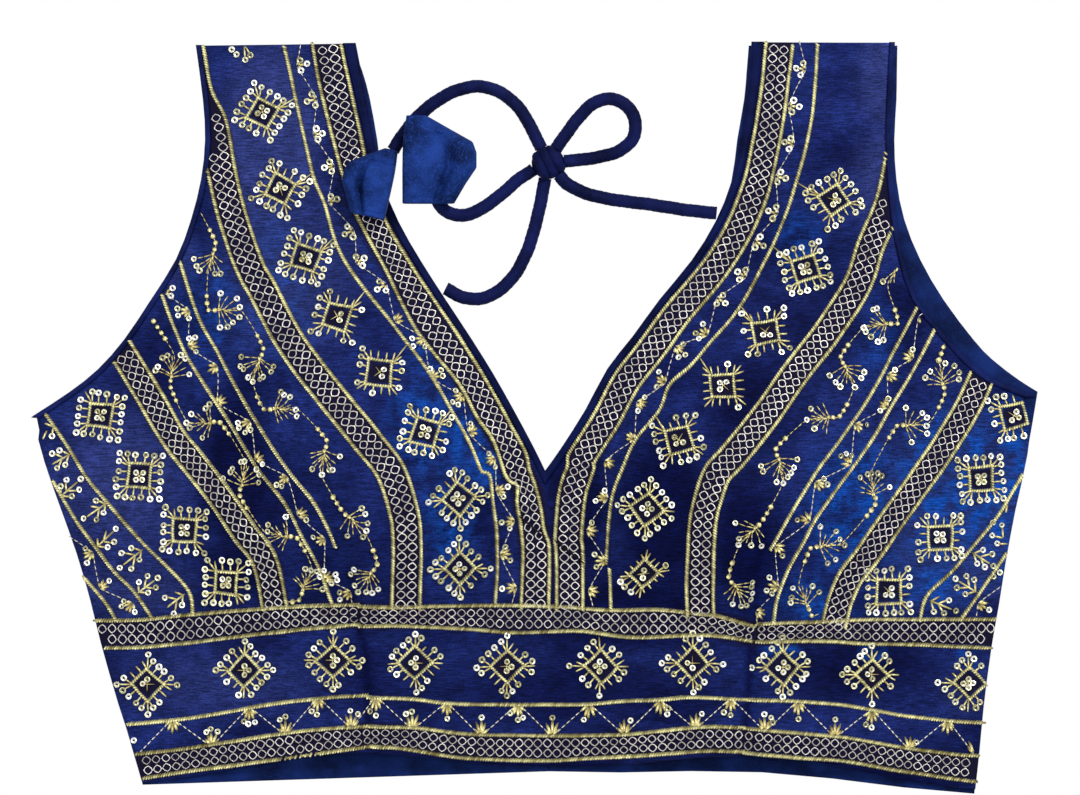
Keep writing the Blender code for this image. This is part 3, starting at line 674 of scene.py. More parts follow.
LOWEST_TIE = -15.0
LONGEST_TIE = 18.0
FOOT_STARTS = [(-0.6, 0.5), (-0.4, -0.5), (1.4, 0.3), (2.6, -0.2)]
FOOT_ENDS = [(1.6, 0.1), (1.6, 0.1), (3.4, 0.4), (4.8, -0.3)]
BEAD_SPOTS = np.array([1.6, 4.9, 8.2, 11.5])
BEND = 3.3
STRAP_FOOT = 55.0
LEAF_SEQUINS = np.array([0.15, 0.3, 0.7, 0.3, 0.15])

rope_zari, zari, silver, ring_thread, sequins, thread_and_fold_shadow = (Batch() for _ in range(6))


class Seat:
    """The front's height and slopes, kept on a grid so that thousands of stitches can look them up."""

    def __init__(self, step):
        self.step = step
        self.low = FRONT_EDGE.loop.min(axis=0) - 2 * step
        counts = np.ceil((FRONT_EDGE.loop.max(axis=0) + 2 * step - self.low) / step).astype(int)
        x, y = np.meshgrid(*(low + step * np.arange(count) for low, count in zip(self.low, counts)), indexing="ij")
        self.grid = np.stack([front_top(x, y), *slopes(front_top, x, y)], axis=-1)

    def at(self, places):
        """Height, slope along X and slope along Y at each place."""
        spot = np.clip((places - self.low) / self.step, 0, np.array(self.grid.shape[:2]) - 2)
        cell = spot.astype(int)
        i, j = cell.T
        u, v = (spot - cell).T[:, :, None]
        low = (1 - u) * self.grid[i, j] + u * self.grid[i + 1, j]
        high = (1 - u) * self.grid[i, j + 1] + u * self.grid[i + 1, j + 1]
        return ((1 - v) * low + v * high).T


FRONT_EDGE = Outline("front_panel", 3.0)
FRONT_SEAT = Seat(1.0)


def sewn_axes(slope_x, slope_y, heading, roll, pitch):
    """Axes for things sewn on the front: X along the heading, Z off the cloth, then rolled and pitched."""
    cos, sin = np.cos(heading), np.sin(heading)
    up = unit(columns(-slope_x, -slope_y, 1.0))
    along = unit(columns(cos, sin, slope_x * cos + slope_y * sin))
    side = np.cross(up, along)
    roll, pitch = roll[:, None], pitch[:, None]
    side, up = side * np.cos(roll) + up * np.sin(roll), up * np.cos(roll) - side * np.sin(roll)
    along, up = along * np.cos(pitch) + up * np.sin(pitch), up * np.cos(pitch) - along * np.sin(pitch)
    return np.stack([along, side, up], axis=1)


def sew(batch, shape, places, heading, size, lift, tint, margin=0.8, roll=0.0, pitch=0.0):
    """Sews copies of a shape on the front, each lift above the cloth, where the front's edge leaves room."""
    kept = FRONT_EDGE.depth(*places.T) > margin
    if not kept.any():
        return
    heading, lift, tint, roll, pitch = (
        np.broadcast_to(value, len(kept))[kept] for value in (heading, lift, tint, roll, pitch)
    )
    size, places = np.broadcast_to(size, (len(kept), 3))[kept], places[kept]
    height, slope_x, slope_y = FRONT_SEAT.at(places)
    axes = sewn_axes(slope_x, slope_y, heading, roll, pitch)
    batch.put(shape, columns(*places.T, height) + lift[:, None] * axes[:, 2], axes, size, tint)


def slow_wave(along, length):
    """An uneven wave along a line, from -1 to 1."""
    waves = zip((1, 0.6, 0.4), (1, 2.3, 4.1), rng.uniform(0, 6.28, 3))
    return sum(weight * np.sin(pace * along / length + phase) for weight, pace, phase in waves) / 2


def sew_rope(points, width=ROPE_WIDTH, shade=0.0):
    """A rope of zari: slanted stitches laid side by side over a core that follows the line."""
    line = smooth_line(points, ROPE_PITCH)
    heading, along, count = headings(line), along_line(line), len(line)
    line = offset_line(line, 0.18 * slow_wave(along, 14))
    wide = width * (1 + 0.08 * slow_wave(along, 9) + jitter(0.06, count))
    size = columns(1.2 * wide, 1.15, 1.35 + 0.2 * slow_wave(along, 6))
    tint = 0.58 + shade + 0.22 * slow_wave(along, 23) + jitter(0.34, count)
    lay = heading + QUARTER - ROPE_LAY + jitter(0.09, count)
    sew(rope_zari, STITCH, line, lay, size, 0.18, tint)
    core = slice(1, -1, 3)
    sew(rope_zari, THREAD, line[core], heading[core], (4.2 * ROPE_PITCH, 0.8 * width, 0.6), 0.05, tint[core] - 0.3)


def sew_run(batch, points, dash, gap, width, shade=0.0):
    """Running stitch: dashes with gaps, along a line."""
    line = smooth_line(points, dash + gap)
    step = np.diff(line, axis=0)
    heading = angles_of(step) + jitter(0.06, len(step))
    tint = 0.5 + shade + jitter(0.2, len(step))
    sew(batch, THREAD, (line[1:] + line[:-1]) / 2, heading, (dash, width, width), 0.12, tint)


def sew_threads(batch, starts, ends, width, lift, shade=0.0):
    """One straight stitch from each start to each end."""
    starts, ends = np.array(starts), np.array(ends)
    step = ends - starts
    length = np.linalg.norm(step, axis=1)
    tint = 0.5 + shade + jitter(0.22, len(length))
    sew(batch, THREAD, (starts + ends) / 2, angles_of(step), columns(length, width, 0.8 * width), lift, tint,
        margin=0.8 + 0.4 * length)


def sew_sequins(places, size=SEQUIN_SIZE, present=0.86):
    """Sequins at the places, a few of them lost and each lying a little askew."""
    places = places[rng.uniform(0, 1, len(places)) < present]
    count = len(places)
    if not count:
        return
    places = places + jitter(0.18, places.shape)
    across = size * rng.uniform(0.92, 1.06, count)
    roll, pitch = rng.normal(0, 0.10, (2, count))
    # A random tint for each sequin; the highest are painted white as glints.
    sew(sequins, SEQUIN, places, rng.uniform(0, 6, count), columns(across, across, 0.42), 0.28,
        rng.uniform(0, 1, count), margin=0.5 * size + 0.3, roll=roll, pitch=pitch)


def band_sides(band):
    """The two ropes' lines of a band, and the line midway."""
    first = smooth_line(band.points, 1.0)
    second = offset_line(first, band.beside) if isinstance(band.beside, float) else smooth_line(band.beside, 1.0)
    shares = np.linspace(0, 1, 4 * len(first))
    return first, second, (spots_along(first, shares) + spots_along(second, shares)) / 2


def sew_band(band):
    """Two ropes, and between them two rows of rings that touch at their corners."""
    first, second, middle = band_sides(band)
    for line in (first, second):
        sew_rope(thinned(line, 4), shade=band.shade)
    centre = smooth_line(thinned(middle, 16), RING_PITCH)
    centre = (centre[1:] + centre[:-1]) / 2
    heading, count = headings(centre), len(centre)
    squeeze = np.clip(line_distance(*centre.T, first) / BAND_HALF, 0.7, 1.1)
    for row in (-1, 1):
        place = offset_line(centre, row * RING_ROW * squeeze)
        place = place + jitter(0.16, place.shape)
        size = columns(RING_ALONG, RING_ACROSS * squeeze, 0.7) * rng.uniform(0.93, 1.05, (count, 1))
        lay = heading + jitter(0.14, count)
        tint = 0.5 + band.shade + jitter(0.32, count)
        sew(ring_thread, RING, place, lay, size, 0.05, tint, margin=2.0)


def sew_square(square):
    """A square of zari with spokes and sequins round it, and four sequins in its middle."""
    def placed(points):
        return turned(np.multiply(points, (1, square.squash)), square.x, square.y, square.turn)

    corners = placed(SQUARE_HALF * CORNERS)
    corners += jitter(0.6, corners.shape)
    for a, b in zip(corners, np.roll(corners, -1, axis=0)):
        sew_rope([a, (a + b) / 2 + jitter(0.3, 2), b], width=1.7, shade=0.1)
    starts, ends = placed(SPOKE_STARTS), placed(SPOKE_TIPS)
    ends += jitter(0.5, ends.shape)
    held = starts + rng.uniform(0.84, 1.05, (len(starts), 1)) * (ends - starts)
    sew_threads(zari, starts, held, 1.0, 0.25)
    sew_sequins(ends, present=square.present)
    sew_sequins(placed(1.55 * CORNERS + jitter(0.2, (4, 2))), size=2.9, present=0.5 + 0.5 * square.present)
    tips = placed(CROSS)
    sew_threads(zari, tips[::2], tips[1::2], 0.5, 0.5, -0.1)


def tie_square(square, rope):
    """One long stitch from a square's nearest upper corner to the rope beside it."""
    corners = turned(SQUARE_HALF * CORNERS[:1:-1], square.x, square.y, square.turn)
    line = smooth_line(rope, 1.0)
    apart = np.linalg.norm(corners[:, None] - line, axis=2)
    corner = apart.min(axis=1).argmin()
    seat = max(0, apart[corner].argmin() - 3)
    if apart[corner, seat] < LONGEST_TIE:
        sew_threads(zari, corners[[corner]], line[[seat]], 0.9, 0.3)


def sew_spray(spray):
    """A stitched foot, and fine spokes opening from it, most with a sequin at the tip."""
    def placed(points):
        return turned(points, spray.x, spray.y, spray.heading)

    sew_threads(zari, placed(FOOT_STARTS), placed(FOOT_ENDS), 1.15, 0.3)
    swing, length = rng.uniform((-5, 7.4), (5, 9.6), (spray.spokes, 2)).T
    angle = np.radians(np.linspace(-spray.spread, spray.spread, spray.spokes) + swing)
    root = 4.2 * np.cos(angle) ** 2
    starts = placed(columns(root, 0.3 * np.sin(angle)))
    ends = placed(columns(0.55 * root, 0.0) + length[:, None] * ways(angle))
    joint = starts + 0.46 * (ends - starts)
    joint += jitter(0.35, joint.shape)
    sew_threads(zari, starts, joint, 0.8, 0.15, -0.2)
    sew_threads(zari, joint, starts + 0.84 * (ends - starts), 0.7, 0.12, -0.15)
    sew_sequins(ends, size=3.0, present=0.66)


def sew_chain(enters, leaves, sprays):
    """Sprays strung on a winding line of stitches, with beads before each spray's foot."""
    route = [enters]
    for spray in rows(Spray, sprays):
        before, foot, *beyond = turned([(-5, 0), (0, 0), (5.5, 0), (11.5, 0)], spray.x, spray.y, spray.heading)
        string_beads([*route, before, foot])
        sew_spray(spray)
        route = beyond
    if leaves is not None:
        string_beads([*route, leaves])


def string_beads(route):
    """A line of fine stitches along a route, and four beads on its last stretch."""
    line = smooth_line(route, 0.5)
    length = along_line(line)[-1]
    back = BEAD_SPOTS[BEAD_SPOTS <= length - 1.5]
    size, lay = rng.uniform((2.2, 0), (2.7, 6), (len(back), 2)).T
    sizes = columns(1.1 * size, size, 0.8 * size)
    sew(zari, BEAD, spots_along(line, 1 - back / length), lay, sizes, 0.5, 0.72, margin=1.6)
    sew_run(zari, line[::max(1, len(line) // 24)], 2.4, 0.3, 0.6, -0.1)


def sew_bud(foot, facing, petals, reach, fan, present, size=2.9, wide=1.5):
    """Satin petals that open fan degrees to either side from a foot, with a sequin beyond some of them."""
    spot = np.linspace(-1, 1, petals)
    angle = facing + np.radians(fan * spot + jitter(4, petals))
    length = reach * (1 - 0.36 * spot**2) * rng.uniform(0.9, 1.06, petals)
    tint = 0.5 + jitter(0.28, petals)
    way = ways(angle)
    sew(zari, PETAL, foot + 0.5 * length[:, None] * way, angle, columns(length, wide, 0.9), 0.2, tint,
        margin=0.5 * length + 0.5)
    sew_sequins(foot + (length[:, None] + 0.7) * way, size=size, present=present)


def sew_zigzag(first, lowest, buds):
    buds = np.array(buds)
    side = first * (-1.0) ** np.arange(len(buds))
    facing = headings(buds) - side * QUARTER
    bends = buds - BEND * ways(facing)
    before = bends[1] - 2 * (buds[1] - buds[0])
    after = bends[-2] + 2 * (buds[-1] - buds[-2])
    share = min(1.0, (bends[-1, 1] - lowest) / (bends[-1, 1] - after[1]))
    ends = [before, *bends, bends[-1] + max(0.15, share) * (after - bends[-1])]
    for a, b in zip(ends, ends[1:]):
        sew_run(silver, [a, (a + b) / 2 + jitter(0.4, 2), b], 2.5, 0.35, 0.6, -0.15)
    for bend, way, angle in zip(bends, ways(facing), facing):
        if bend[1] > STRAP_FOOT:
            sew_bud(bend + 0.8 * way, angle, 3, rng.uniform(3.2, 3.7), 66, 0.95, size=3.3)
        else:
            sew_bud(bend + 0.3 * way, angle, 5, rng.uniform(5.0, 5.7), 60, 0.32)


def sew_palmettes():
    ups, downs = np.array(PALMETTES_UP), np.array(PALMETTES_DOWN)
    for first, second in [*zip(ups, downs), *zip(downs, ups[1:])]:
        sew_run(silver, [first, (first + second) / 2, second], 2.4, 0.35, 0.7)
    for places, side in ((ups, 1), (downs, -1)):
        for place in places:
            sew_bud(place + (0, 0.3 * side), side * QUARTER, 5, rng.uniform(7.0, 7.8), 46, LEAF_SEQUINS, wide=1.6)


def sew_sprig(x, y, heading):
    """Stalks that branch from one stem, each with a sequin at its tip."""
    leaves, reach, angle = np.array(STALKS).T
    angle = np.radians(angle + jitter(5, len(STALKS)))
    ends = (reach * rng.uniform(0.92, 1.08, len(STALKS)))[:, None] * ways(angle)
    starts, ends, tips = (turned(points, x, y, heading) for points in (columns(leaves, 0.0), ends, 1.10 * ends))
    sew_threads(zari, starts, ends, 1.25, 0.25)
    sew_sequins(tips, size=3.0, present=0.85)


# ---- Finishes. Colours are linear, scales are in waves to the metre and bumps are in metres.

SILK_SHADES = {
    "body": (0.0085, 0.0175, 0.112),
    # the darker tone of the silk's own clouding, and the colour of its painted shade
    "dark_and_shade": (0.0014, 0.0030, 0.034),
    # painted blue sheen
    "blue_sheen": (0.003, 0.044, 0.26),
    # painted pale grey sheen, a haze of reflected light
    "grey_sheen": (0.020, 0.030, 0.135),
    # the dark ground under the bands and squares: partly net thread, partly painted shade
    "net_and_shade": (0.0060, 0.0050, 0.020),
    "cord_silk": (0.0035, 0.0058, 0.042),
    "binding_silk": (0.0023, 0.0048, 0.036),
    "piping_silk": (0.0042, 0.0082, 0.056),
    "back_silk": (0.0034, 0.0115, 0.070),
    "tassel_silk": (0.0062, 0.0225, 0.125),
    # near black: a dark thread, and the painted shadow of its fold
    "thread_and_fold_shadow": (0.010, 0.008, 0.014),
}
METAL_SHADES = {
    "zari_rope": [(0.19, 0.155, 0.045), (0.92, 0.88, 0.46)],
    "zari": [(0.30, 0.215, 0.045), (0.95, 0.88, 0.42)],
    "silver_thread": [(0.46, 0.42, 0.34), (0.94, 0.91, 0.80)],
    "ring_thread": [(0.36, 0.33, 0.31), (1.0, 0.96, 0.90)],
    # the sequins' deep and dull gold, and the white of their painted glints
    "sequin": [(0.34, 0.32, 0.17), (0.76, 0.75, 0.52), (0.95, 0.95, 0.88)],
}
RIB_SCALE = (190, 2300, 300)
CLOUD_SCALE = (22, 44, 22)
SOFT_SCALE = 60
MOTTLE_SCALE = 120
SPECKLE_SCALE = 1300
GRAIN_SCALE = 1100
WEAVE_SCALE = 700
WEAVE_BUMP = 0.00012
SLUB_BUMP = 0.0002


class Finish:
    """A material under construction: a Principled surface, with short ways to add what feeds it."""

    def __init__(self, name, **values):
        self.material = bpy.data.materials.new(name)
        self.material.use_nodes = True
        self.tree = self.material.node_tree
        self.surface = self.tree.nodes["Principled BSDF"]
        self.feed(self.surface, {key.replace("_", " "): value for key, value in values.items()})

    def feed(self, node, values):
        """Sets a node's inputs to numbers and colours, or links them to other nodes' outputs."""
        for name, value in values.items():
            socket = node.inputs[name]
            if isinstance(value, bpy.types.NodeSocket):
                self.tree.links.new(value, socket)
            else:
                socket.default_value = (*value, 1.0) if socket.type == "RGBA" else value

    def node(self, kind, output, values, **settings):
        """The output of a new node."""
        made = self.tree.nodes.new("ShaderNode" + kind)
        for name, value in settings.items():
            setattr(made, name, value)
        self.feed(made, values)
        return made.outputs[output]

    def place(self, scale=(1, 1, 1)):
        """Object coordinates, scaled."""
        return self.node("Mapping", "Vector", {"Vector": self.node("TexCoord", "Object", {}), "Scale": scale})

    def noise(self, scale, detail=3.0, roughness=0.55):
        scale = (scale,) * 3 if isinstance(scale, int) else scale
        return self.node("TexNoise", "Fac", {"Vector": self.place(scale), "Scale": 1.0, "Detail": detail,
                                             "Roughness": roughness})

    def painted(self, name):
        """The number that paint() kept at each point."""
        return self.node("Attribute", "Fac", {}, attribute_name=name)

    def spread(self, value, low, high, to_low=0.0, to_high=1.0):
        return self.node("MapRange", "Result", {"Value": value, "From Min": low, "From Max": high, "To Min": to_low,
                                                "To Max": to_high})

    def mix(self, share, first, second, blend="MIX"):
        """A colour share of the way from first to second."""
        return self.node("Mix", 2, {0: share, 6: first, 7: second}, data_type="RGBA", blend_type=blend)

    def bump(self, height, strength, distance):
        """Bumps as high as distance, on top of those already there."""
        before = {"Normal": link.from_socket for link in self.surface.inputs["Normal"].links}
        values = {"Height": height, "Strength": strength, "Distance": distance, **before}
        self.feed(self.surface, {"Normal": self.node("Bump", "Normal", values)})

    def done(self, colour):
        self.feed(self.surface, {"Base Color": colour})
        return self.material


def embroidered_silk():
    """Navy silk with fine ribs across, with painted sheen and painted shade by patches, and the bands' dark ground of
    net and painted shade.
    """
    finish = Finish("embroidered_silk", Roughness=0.6, Specular_IOR_Level=0.03)
    cloud = finish.noise(CLOUD_SCALE, detail=4.0)
    mottle = finish.noise(MOTTLE_SCALE, detail=4.0, roughness=0.65)
    rib = finish.noise(RIB_SCALE, detail=1.5)
    speckle = finish.noise(SPECKLE_SCALE, detail=1.0)
    shade = finish.mix(finish.spread(cloud, 0.36, 0.60, 0.25), SILK_SHADES["dark_and_shade"], SILK_SHADES["body"])
    # Painted pale grey sheen, then painted shade, laid over the silk's own clouding.
    for name in ("grey_sheen", "dark_and_shade"):
        shade = finish.mix(finish.painted(name), shade, SILK_SHADES[name])
    # Painted blue sheen where its patches lie, broken up by the mottle.
    sheen_share = {0: finish.painted("blue_sheen"), 1: finish.spread(mottle, 0.40, 0.60, 0.15)}
    shade = finish.mix(finish.node("Math", "Value", sheen_share, operation="MULTIPLY"), shade, SILK_SHADES["blue_sheen"])
    for value, low, high, deep, pale in ((rib, 0.40, 0.60, 0.62, 1.35), (mottle, 0.40, 0.62, 0.82, 1.14),
                                         (speckle, 0.38, 0.62, 0.78, 1.22)):
        ends = [finish.mix(1.0, shade, (factor,) * 3, "MULTIPLY") for factor in (deep, pale)]
        shade = finish.mix(finish.spread(value, low, high), *ends)
    for direction in "XY":
        values = {"Vector": finish.place(), "Scale": WEAVE_SCALE, "Distortion": 1.2, "Detail": 1.0}
        finish.bump(finish.node("TexWave", "Fac", values, bands_direction=direction), 0.35, WEAVE_BUMP)
    finish.bump(rib, 0.5, SLUB_BUMP)
    # The dark ground, partly net thread and partly painted shade, goes over the rest.
    return finish.done(finish.mix(finish.painted("net_and_shade"), shade, SILK_SHADES["net_and_shade"]))


def plain_silk(name, sheen=0.0, deepest=0.55, palest=1.5, specks=0.35):
    finish = Finish(name, Roughness=0.65, Sheen_Weight=sheen, Sheen_Roughness=0.35, Specular_IOR_Level=0.04)
    grain = finish.noise(GRAIN_SCALE, detail=2.0)
    deep, pale, speck = (tuple(share * value for value in SILK_SHADES[name]) for share in (deepest, palest, 2.4))
    shade = finish.mix(finish.spread(finish.noise(SOFT_SCALE), 0.36, 0.64), deep, pale)
    finish.bump(grain, 0.5, SLUB_BUMP)
    return finish.done(finish.mix(finish.spread(grain, 0.52, 0.75, 0.0, specks), shade, speck))


def metal_thread(name, roughness):
    """Metal-wrapped thread, each stitch as pale as its tint says."""
    finish = Finish(name, Roughness=roughness, Metallic=0.4)
    return finish.done(finish.mix(finish.painted("tint"), *METAL_SHADES[name]))


def sequin_finish():
    """Most sequins are a dull greenish gold, and the last few by their tint are painted white, as painted glints."""
    finish = Finish("sequin", Roughness=0.28, Metallic=0.65, Coat_Weight=0.1)
    tint = finish.painted("tint")
    deep, dull, painted_glint = METAL_SHADES["sequin"]
    dull = finish.mix(finish.spread(tint, 0.0, 0.55), deep, dull)
    return finish.done(finish.mix(finish.spread(tint, 0.55, 0.90), dull, painted_glint))


def ground_finish():
    """Plain white that takes no shadow, as in a cut-out picture."""
    finish = Finish("white_ground", Roughness=1.0, Specular_IOR_Level=0.0, Emission_Color=(1, 1, 1),
                    Emission_Strength=1.0)
    return finish.done((0, 0, 0))


# ---- The cords, their knot and their tassels

CORD_DIAMETER = 6.3
CORD_RADIUS = CORD_DIAMETER / 2
CORD_SIDES = 20
CORD_RING = 0.9
# Each cord's far end, and its route from where it leaves the object, laid on the surface unless a height is given
CORDS = {
    "tail_b": ("fitting", [(2.9, 126.6), (-0.9, 134.4), (-7, 144.8), (-15.5, 152.3), (-25.8, 155.6), (-36.7, 153.7),
        (-46.5, 148.5), (-55.5, 141), (-62.2, 132.6, 3.4), (-66.6, 125.6, 4)]),
    "tail_a": ("fitting", [(-0.7, 116.6), (-8.2, 111.6), (-17, 104), (-27.7, 96.9), (-36.5, 95.2), (-43.5, 98.6),
        (-47.6, 106), (-49.6, 116), (-50.4, 127)]),
    "bow_loop": ("knot", [(9.8, 126.3), (14.6, 133.2), (20.2, 140.6), (26.6, 147), (34.5, 149.8), (42.6, 146.8),
        (46.9, 139.4), (45.9, 131.2), (39.6, 125.4), (30.6, 122.6), (21.4, 121.2), (13.6, 120.5)]),
    "tie_left": ("knot", [(-42, 60.7), (-32.4, 56.2), (-21.4, 57.2), (-10.8, 65.6), (-3.6, 78.5), (0.8, 93),
        (3.4, 105), (4.7, 112.4)]),
    "tie_right": ("knot", [(85.2, 96.1), (71, 97.6), (54, 100.2), (37, 102.4), (24.6, 105.2), (15.6, 109.6),
        (11.1, 114.2)]),
}

KNOT_CENTRE = (6.1, 119.8, 5.6)
KNOT_DEGREES = -62
KNOT_STEPS = 36
WRAP_SIDES = 14
WRAP_SPACING = 3.6
WRAP_WIDE = 4.7
WRAP_HIGH = 3.0
WRAP_RADIUS = 2.5
# The lump under the knot's turns: heights, and its reach at each
KNOT_LUMP = [(0.2, 5.8), (1.6, 7.3), (3.4, 7.75), (5.2, 7.3), (6.8, 5.2)]
LUMP_SIDES = 24


def tube_points(centre, normal, radii, closed=False):
    """Rings of points round a line. normal is upright to it, and radii has a number for each ring and side."""
    ahead = np.roll(centre, -1, axis=0) - np.roll(centre, 1, axis=0) if closed else np.gradient(centre, axis=0)
    side = unit(np.cross(normal, ahead))
    up = np.cross(unit(ahead), side)
    turn = (TURN * np.arange(radii.shape[1]) / radii.shape[1])[:, None]
    out = np.cos(turn) * side[:, None] + np.sin(turn) * up[:, None]
    return (centre[:, None] + radii[:, :, None] * out).reshape(-1, 3)


def cord_radii(along):
    """The cord's radius round each ring: small puckers along it, and the ridge of its seam."""
    turn = TURN * np.arange(CORD_SIDES) / CORD_SIDES
    phase = rng.uniform(0, 6.28, 4)
    a = along[:, None]
    pucker = 0.020 * np.sin(1.9 * a + 2 * turn + phase[0]) + 0.016 * np.sin(3.1 * a - 3 * turn + phase[1])
    pucker = pucker + 0.020 * np.sin(0.55 * a + turn + phase[2])
    seam_at = 0.6 + 0.5 * np.sin(0.06 * a + phase[3])
    return CORD_RADIUS * (0.965 + pucker + 0.05 * np.exp(-((turn - seam_at) / 0.22) ** 2))


def add_cord(name, material):
    """A soft stuffed tube of cloth along its route."""
    far_end, route = CORDS[name]
    centre = smooth_line([(*point, CORD_RADIUS)[:3] for point in route], CORD_RING)
    along = along_line(centre)
    points = tube_points(centre, (0, 0, 1), cord_radii(along))
    item = build_piece(name + "_cord", points, capped_rings(len(centre), CORD_SIDES), material, PLAIN, name, sharp=60)


def add_knot(material):
    """Three turns of the cord, side by side, over the lump where all its ends meet."""
    across, axis = (turned([(1, 0)], 0, 0, KNOT_DEGREES + angle)[0] for angle in (0, 90))
    across, axis = np.array([*across, 0]), np.array([*axis, 0])
    turn = np.linspace(0, TURN, KNOT_STEPS, endpoint=False)[:, None]
    points, triangles = [], []
    for index, place in enumerate((-1, 0, 1)):
        lean = 0.10 * place + jitter(0.05)
        wide, high = (WRAP_WIDE, WRAP_HIGH) if place else (1.12 * WRAP_WIDE, 1.15 * WRAP_HIGH)
        loop = KNOT_CENTRE + (place * WRAP_SPACING + lean * WRAP_WIDE * np.cos(turn)) * axis
        loop = loop + wide * np.cos(turn) * across + high * np.sin(turn) * (0, 0, 1)
        radii = np.tile(WRAP_RADIUS * (1 + 0.04 * np.sin(3 * turn + index)), (1, WRAP_SIDES))
        triangles.append(ring_triangles(KNOT_STEPS, WRAP_SIDES, closed=True) + sum(map(len, points)))
        points.append(tube_points(loop, axis, radii, closed=True))
    heights, reaches = np.array(KNOT_LUMP).T
    middle = columns(*KNOT_CENTRE[:2], heights)
    triangles.append(capped_rings(len(middle), LUMP_SIDES) + sum(map(len, points)))
    points.append(tube_points(middle, across, np.tile(reaches[:, None], (1, LUMP_SIDES))))
    build_piece("knot_turns", np.vstack(points), np.vstack(triangles), material, PLAIN, "tie_knot")


# A tassel is a square of cloth folded round the cord's end: a narrow cap, a flat face and a rolled side.
# Its sections run from the cap down to the open mouth, in the tassel's own frame with the cap at the top: how far
# down, left and right sides, the groove's depth and the thickness.
TASSEL_SECTIONS = [
    (0, -4.7, 4.7, 0, 5), (6.5, -5.6, 16, 0, 7.5), (12.4, -6.2, 26.4, 1.2, 10.5), (17.5, -6.4, 28.2, 2.4, 12),
    (24.6, -6.5, 28.2, 3, 12.5), (32, -6.5, 23.2, 2.6, 12), (41, -6.5, 17.9, 1.4, 11),
]
TASSEL_LENGTH = TASSEL_SECTIONS[-1][0]
TASSEL_RINGS = 52
FOLD_SHARE = 0.62
EDGE_BEVEL = 1.8
MOUTH_WALL = 1.0
MOUTH_DEPTH = 9.0
TURNED_EDGE = 8.6
MOUTH_HEM = 2.6
RING_SPLITS = 6

Tassel = namedtuple("Tassel", "x y z turn length width flip")
TASSELS = {
    "tassel_a": Tassel(-55.5, 141.6, 6.7, 0, 1, 1, 1),
    "tassel_b": Tassel(-67.4, 125.8, 3.5, -13, 0.80, 0.68, -1),
}


def tassel_ring(along, shrink):
    """The tassel's section at a distance from its cap, drawn in by shrink, with its corners softened."""
    at, *sides = np.array(TASSEL_SECTIONS).T
    left, right, groove, thick = (np.interp(along, at, side) for side in sides)
    left, right, low, high = left + shrink, right - shrink, shrink, thick - shrink
    width = right - left
    fold = left + FOLD_SHARE * width
    bevel = min(EDGE_BEVEL, 0.2 * (high - low))
    corners = np.array([
        (left + bevel, low),
        (right - 1.6 * bevel, low),
        (right, low + 0.35 * (high - low)),
        (right, low + 0.60 * (high - low)),
        (right - 1.6 * bevel, high - 0.6 * bevel),
        (fold + 0.12 * width, high - 0.3 * groove),
        (fold, high - 2.0 * groove),
        (fold - 0.06 * width, high),
        (left + bevel, high),
        (left, high - bevel),
        (left, low + bevel),
    ])
    share = np.linspace(0, 1, RING_SPLITS, endpoint=False)[:, None]
    ring = np.vstack([a + share * (b - a) for a, b in zip(corners, np.roll(corners, -1, axis=0))])
    for _ in range(3):
        ring = (np.roll(ring, 1, axis=0) + 2 * ring + np.roll(ring, -1, axis=0)) / 4
    return ring


def add_tassel(name, tassel, material):
    stations = [(along, 0.0) for along in np.linspace(0, TASSEL_LENGTH, TASSEL_RINGS)]
    stations += [(TASSEL_LENGTH + 0.3, 0.35), (TASSEL_LENGTH, MOUTH_WALL), (TASSEL_LENGTH - 2, 1.2 * MOUTH_WALL),
                 (TASSEL_LENGTH - MOUTH_DEPTH, 1.6 * MOUTH_WALL)]
    rings = []
    for along, shrink in stations:
        x, z = tassel_ring(min(along, TASSEL_LENGTH), shrink).T
        lift = 0.22 * np.sin(0.33 * along + 0.21 * x) + 0.12 * np.sin(0.9 * along - 0.5 * x)
        if shrink == 0:
            lift -= hump((along - TURNED_EDGE) / 0.9) + 0.5 * hump((along - TASSEL_LENGTH + MOUTH_HEM) / 0.6)
        lift = np.where(z > 0.6 * z.max(), lift, 0)
        rings.append(columns(tassel.flip * tassel.width * x, -tassel.length * along, tassel.z + z + lift))
    size, points = len(rings[0]), np.vstack(rings)
    points[:, :2] = turned(points[:, :2], tassel.x, tassel.y, tassel.turn)
    count, ring = len(points), np.arange(size)
    points = np.vstack([points, points[:size].mean(axis=0), points[-size:].mean(axis=0)])
    triangles = np.vstack([ring_triangles(len(rings), size), tip(count, ring),
                           tip(count + 1, (count - size + ring)[::-1])])
    return build_piece(name + "_cloth", points, triangles[:, ::int(tassel.flip)], material, PLAIN, name, sharp=55)


def add_cords(plain, tassel_cloth):
    tassel_a, tassel_b = (add_tassel(name, tassel, tassel_cloth) for name, tassel in TASSELS.items())
    add_knot(plain)
    add_cord("tail_b", plain)
    add_cord("tail_a", plain)
    for name in ("bow_loop", "tie_left", "tie_right"):
        add_cord(name, plain)


# ---- The cloth

# A piece's node, its points' spacing, its edge, its upper and lower face, and how far it covers its seam
FRONT = ("front_panel", 2.2, CUT_EDGE, front_top, front_under, 0.0)
BINDING = ("neck_binding", 1.2, BINDING_EDGE, front_top, back_top, 0.35)
PIPINGS = [(f"armhole_piping_{side}", 1.2, PIPING_EDGE, piping_top, back_top, 0.35) for side in ("left", "right")]
BACKS = [(f"back_{side}", 5.0, CUT_EDGE, back_top, back_under, 0.175) for side in ("left", "right")]
NARROW = 3.5
NET_HALF = 5.6
NET_MARGIN = 0.8
NET_FADE = 1.2
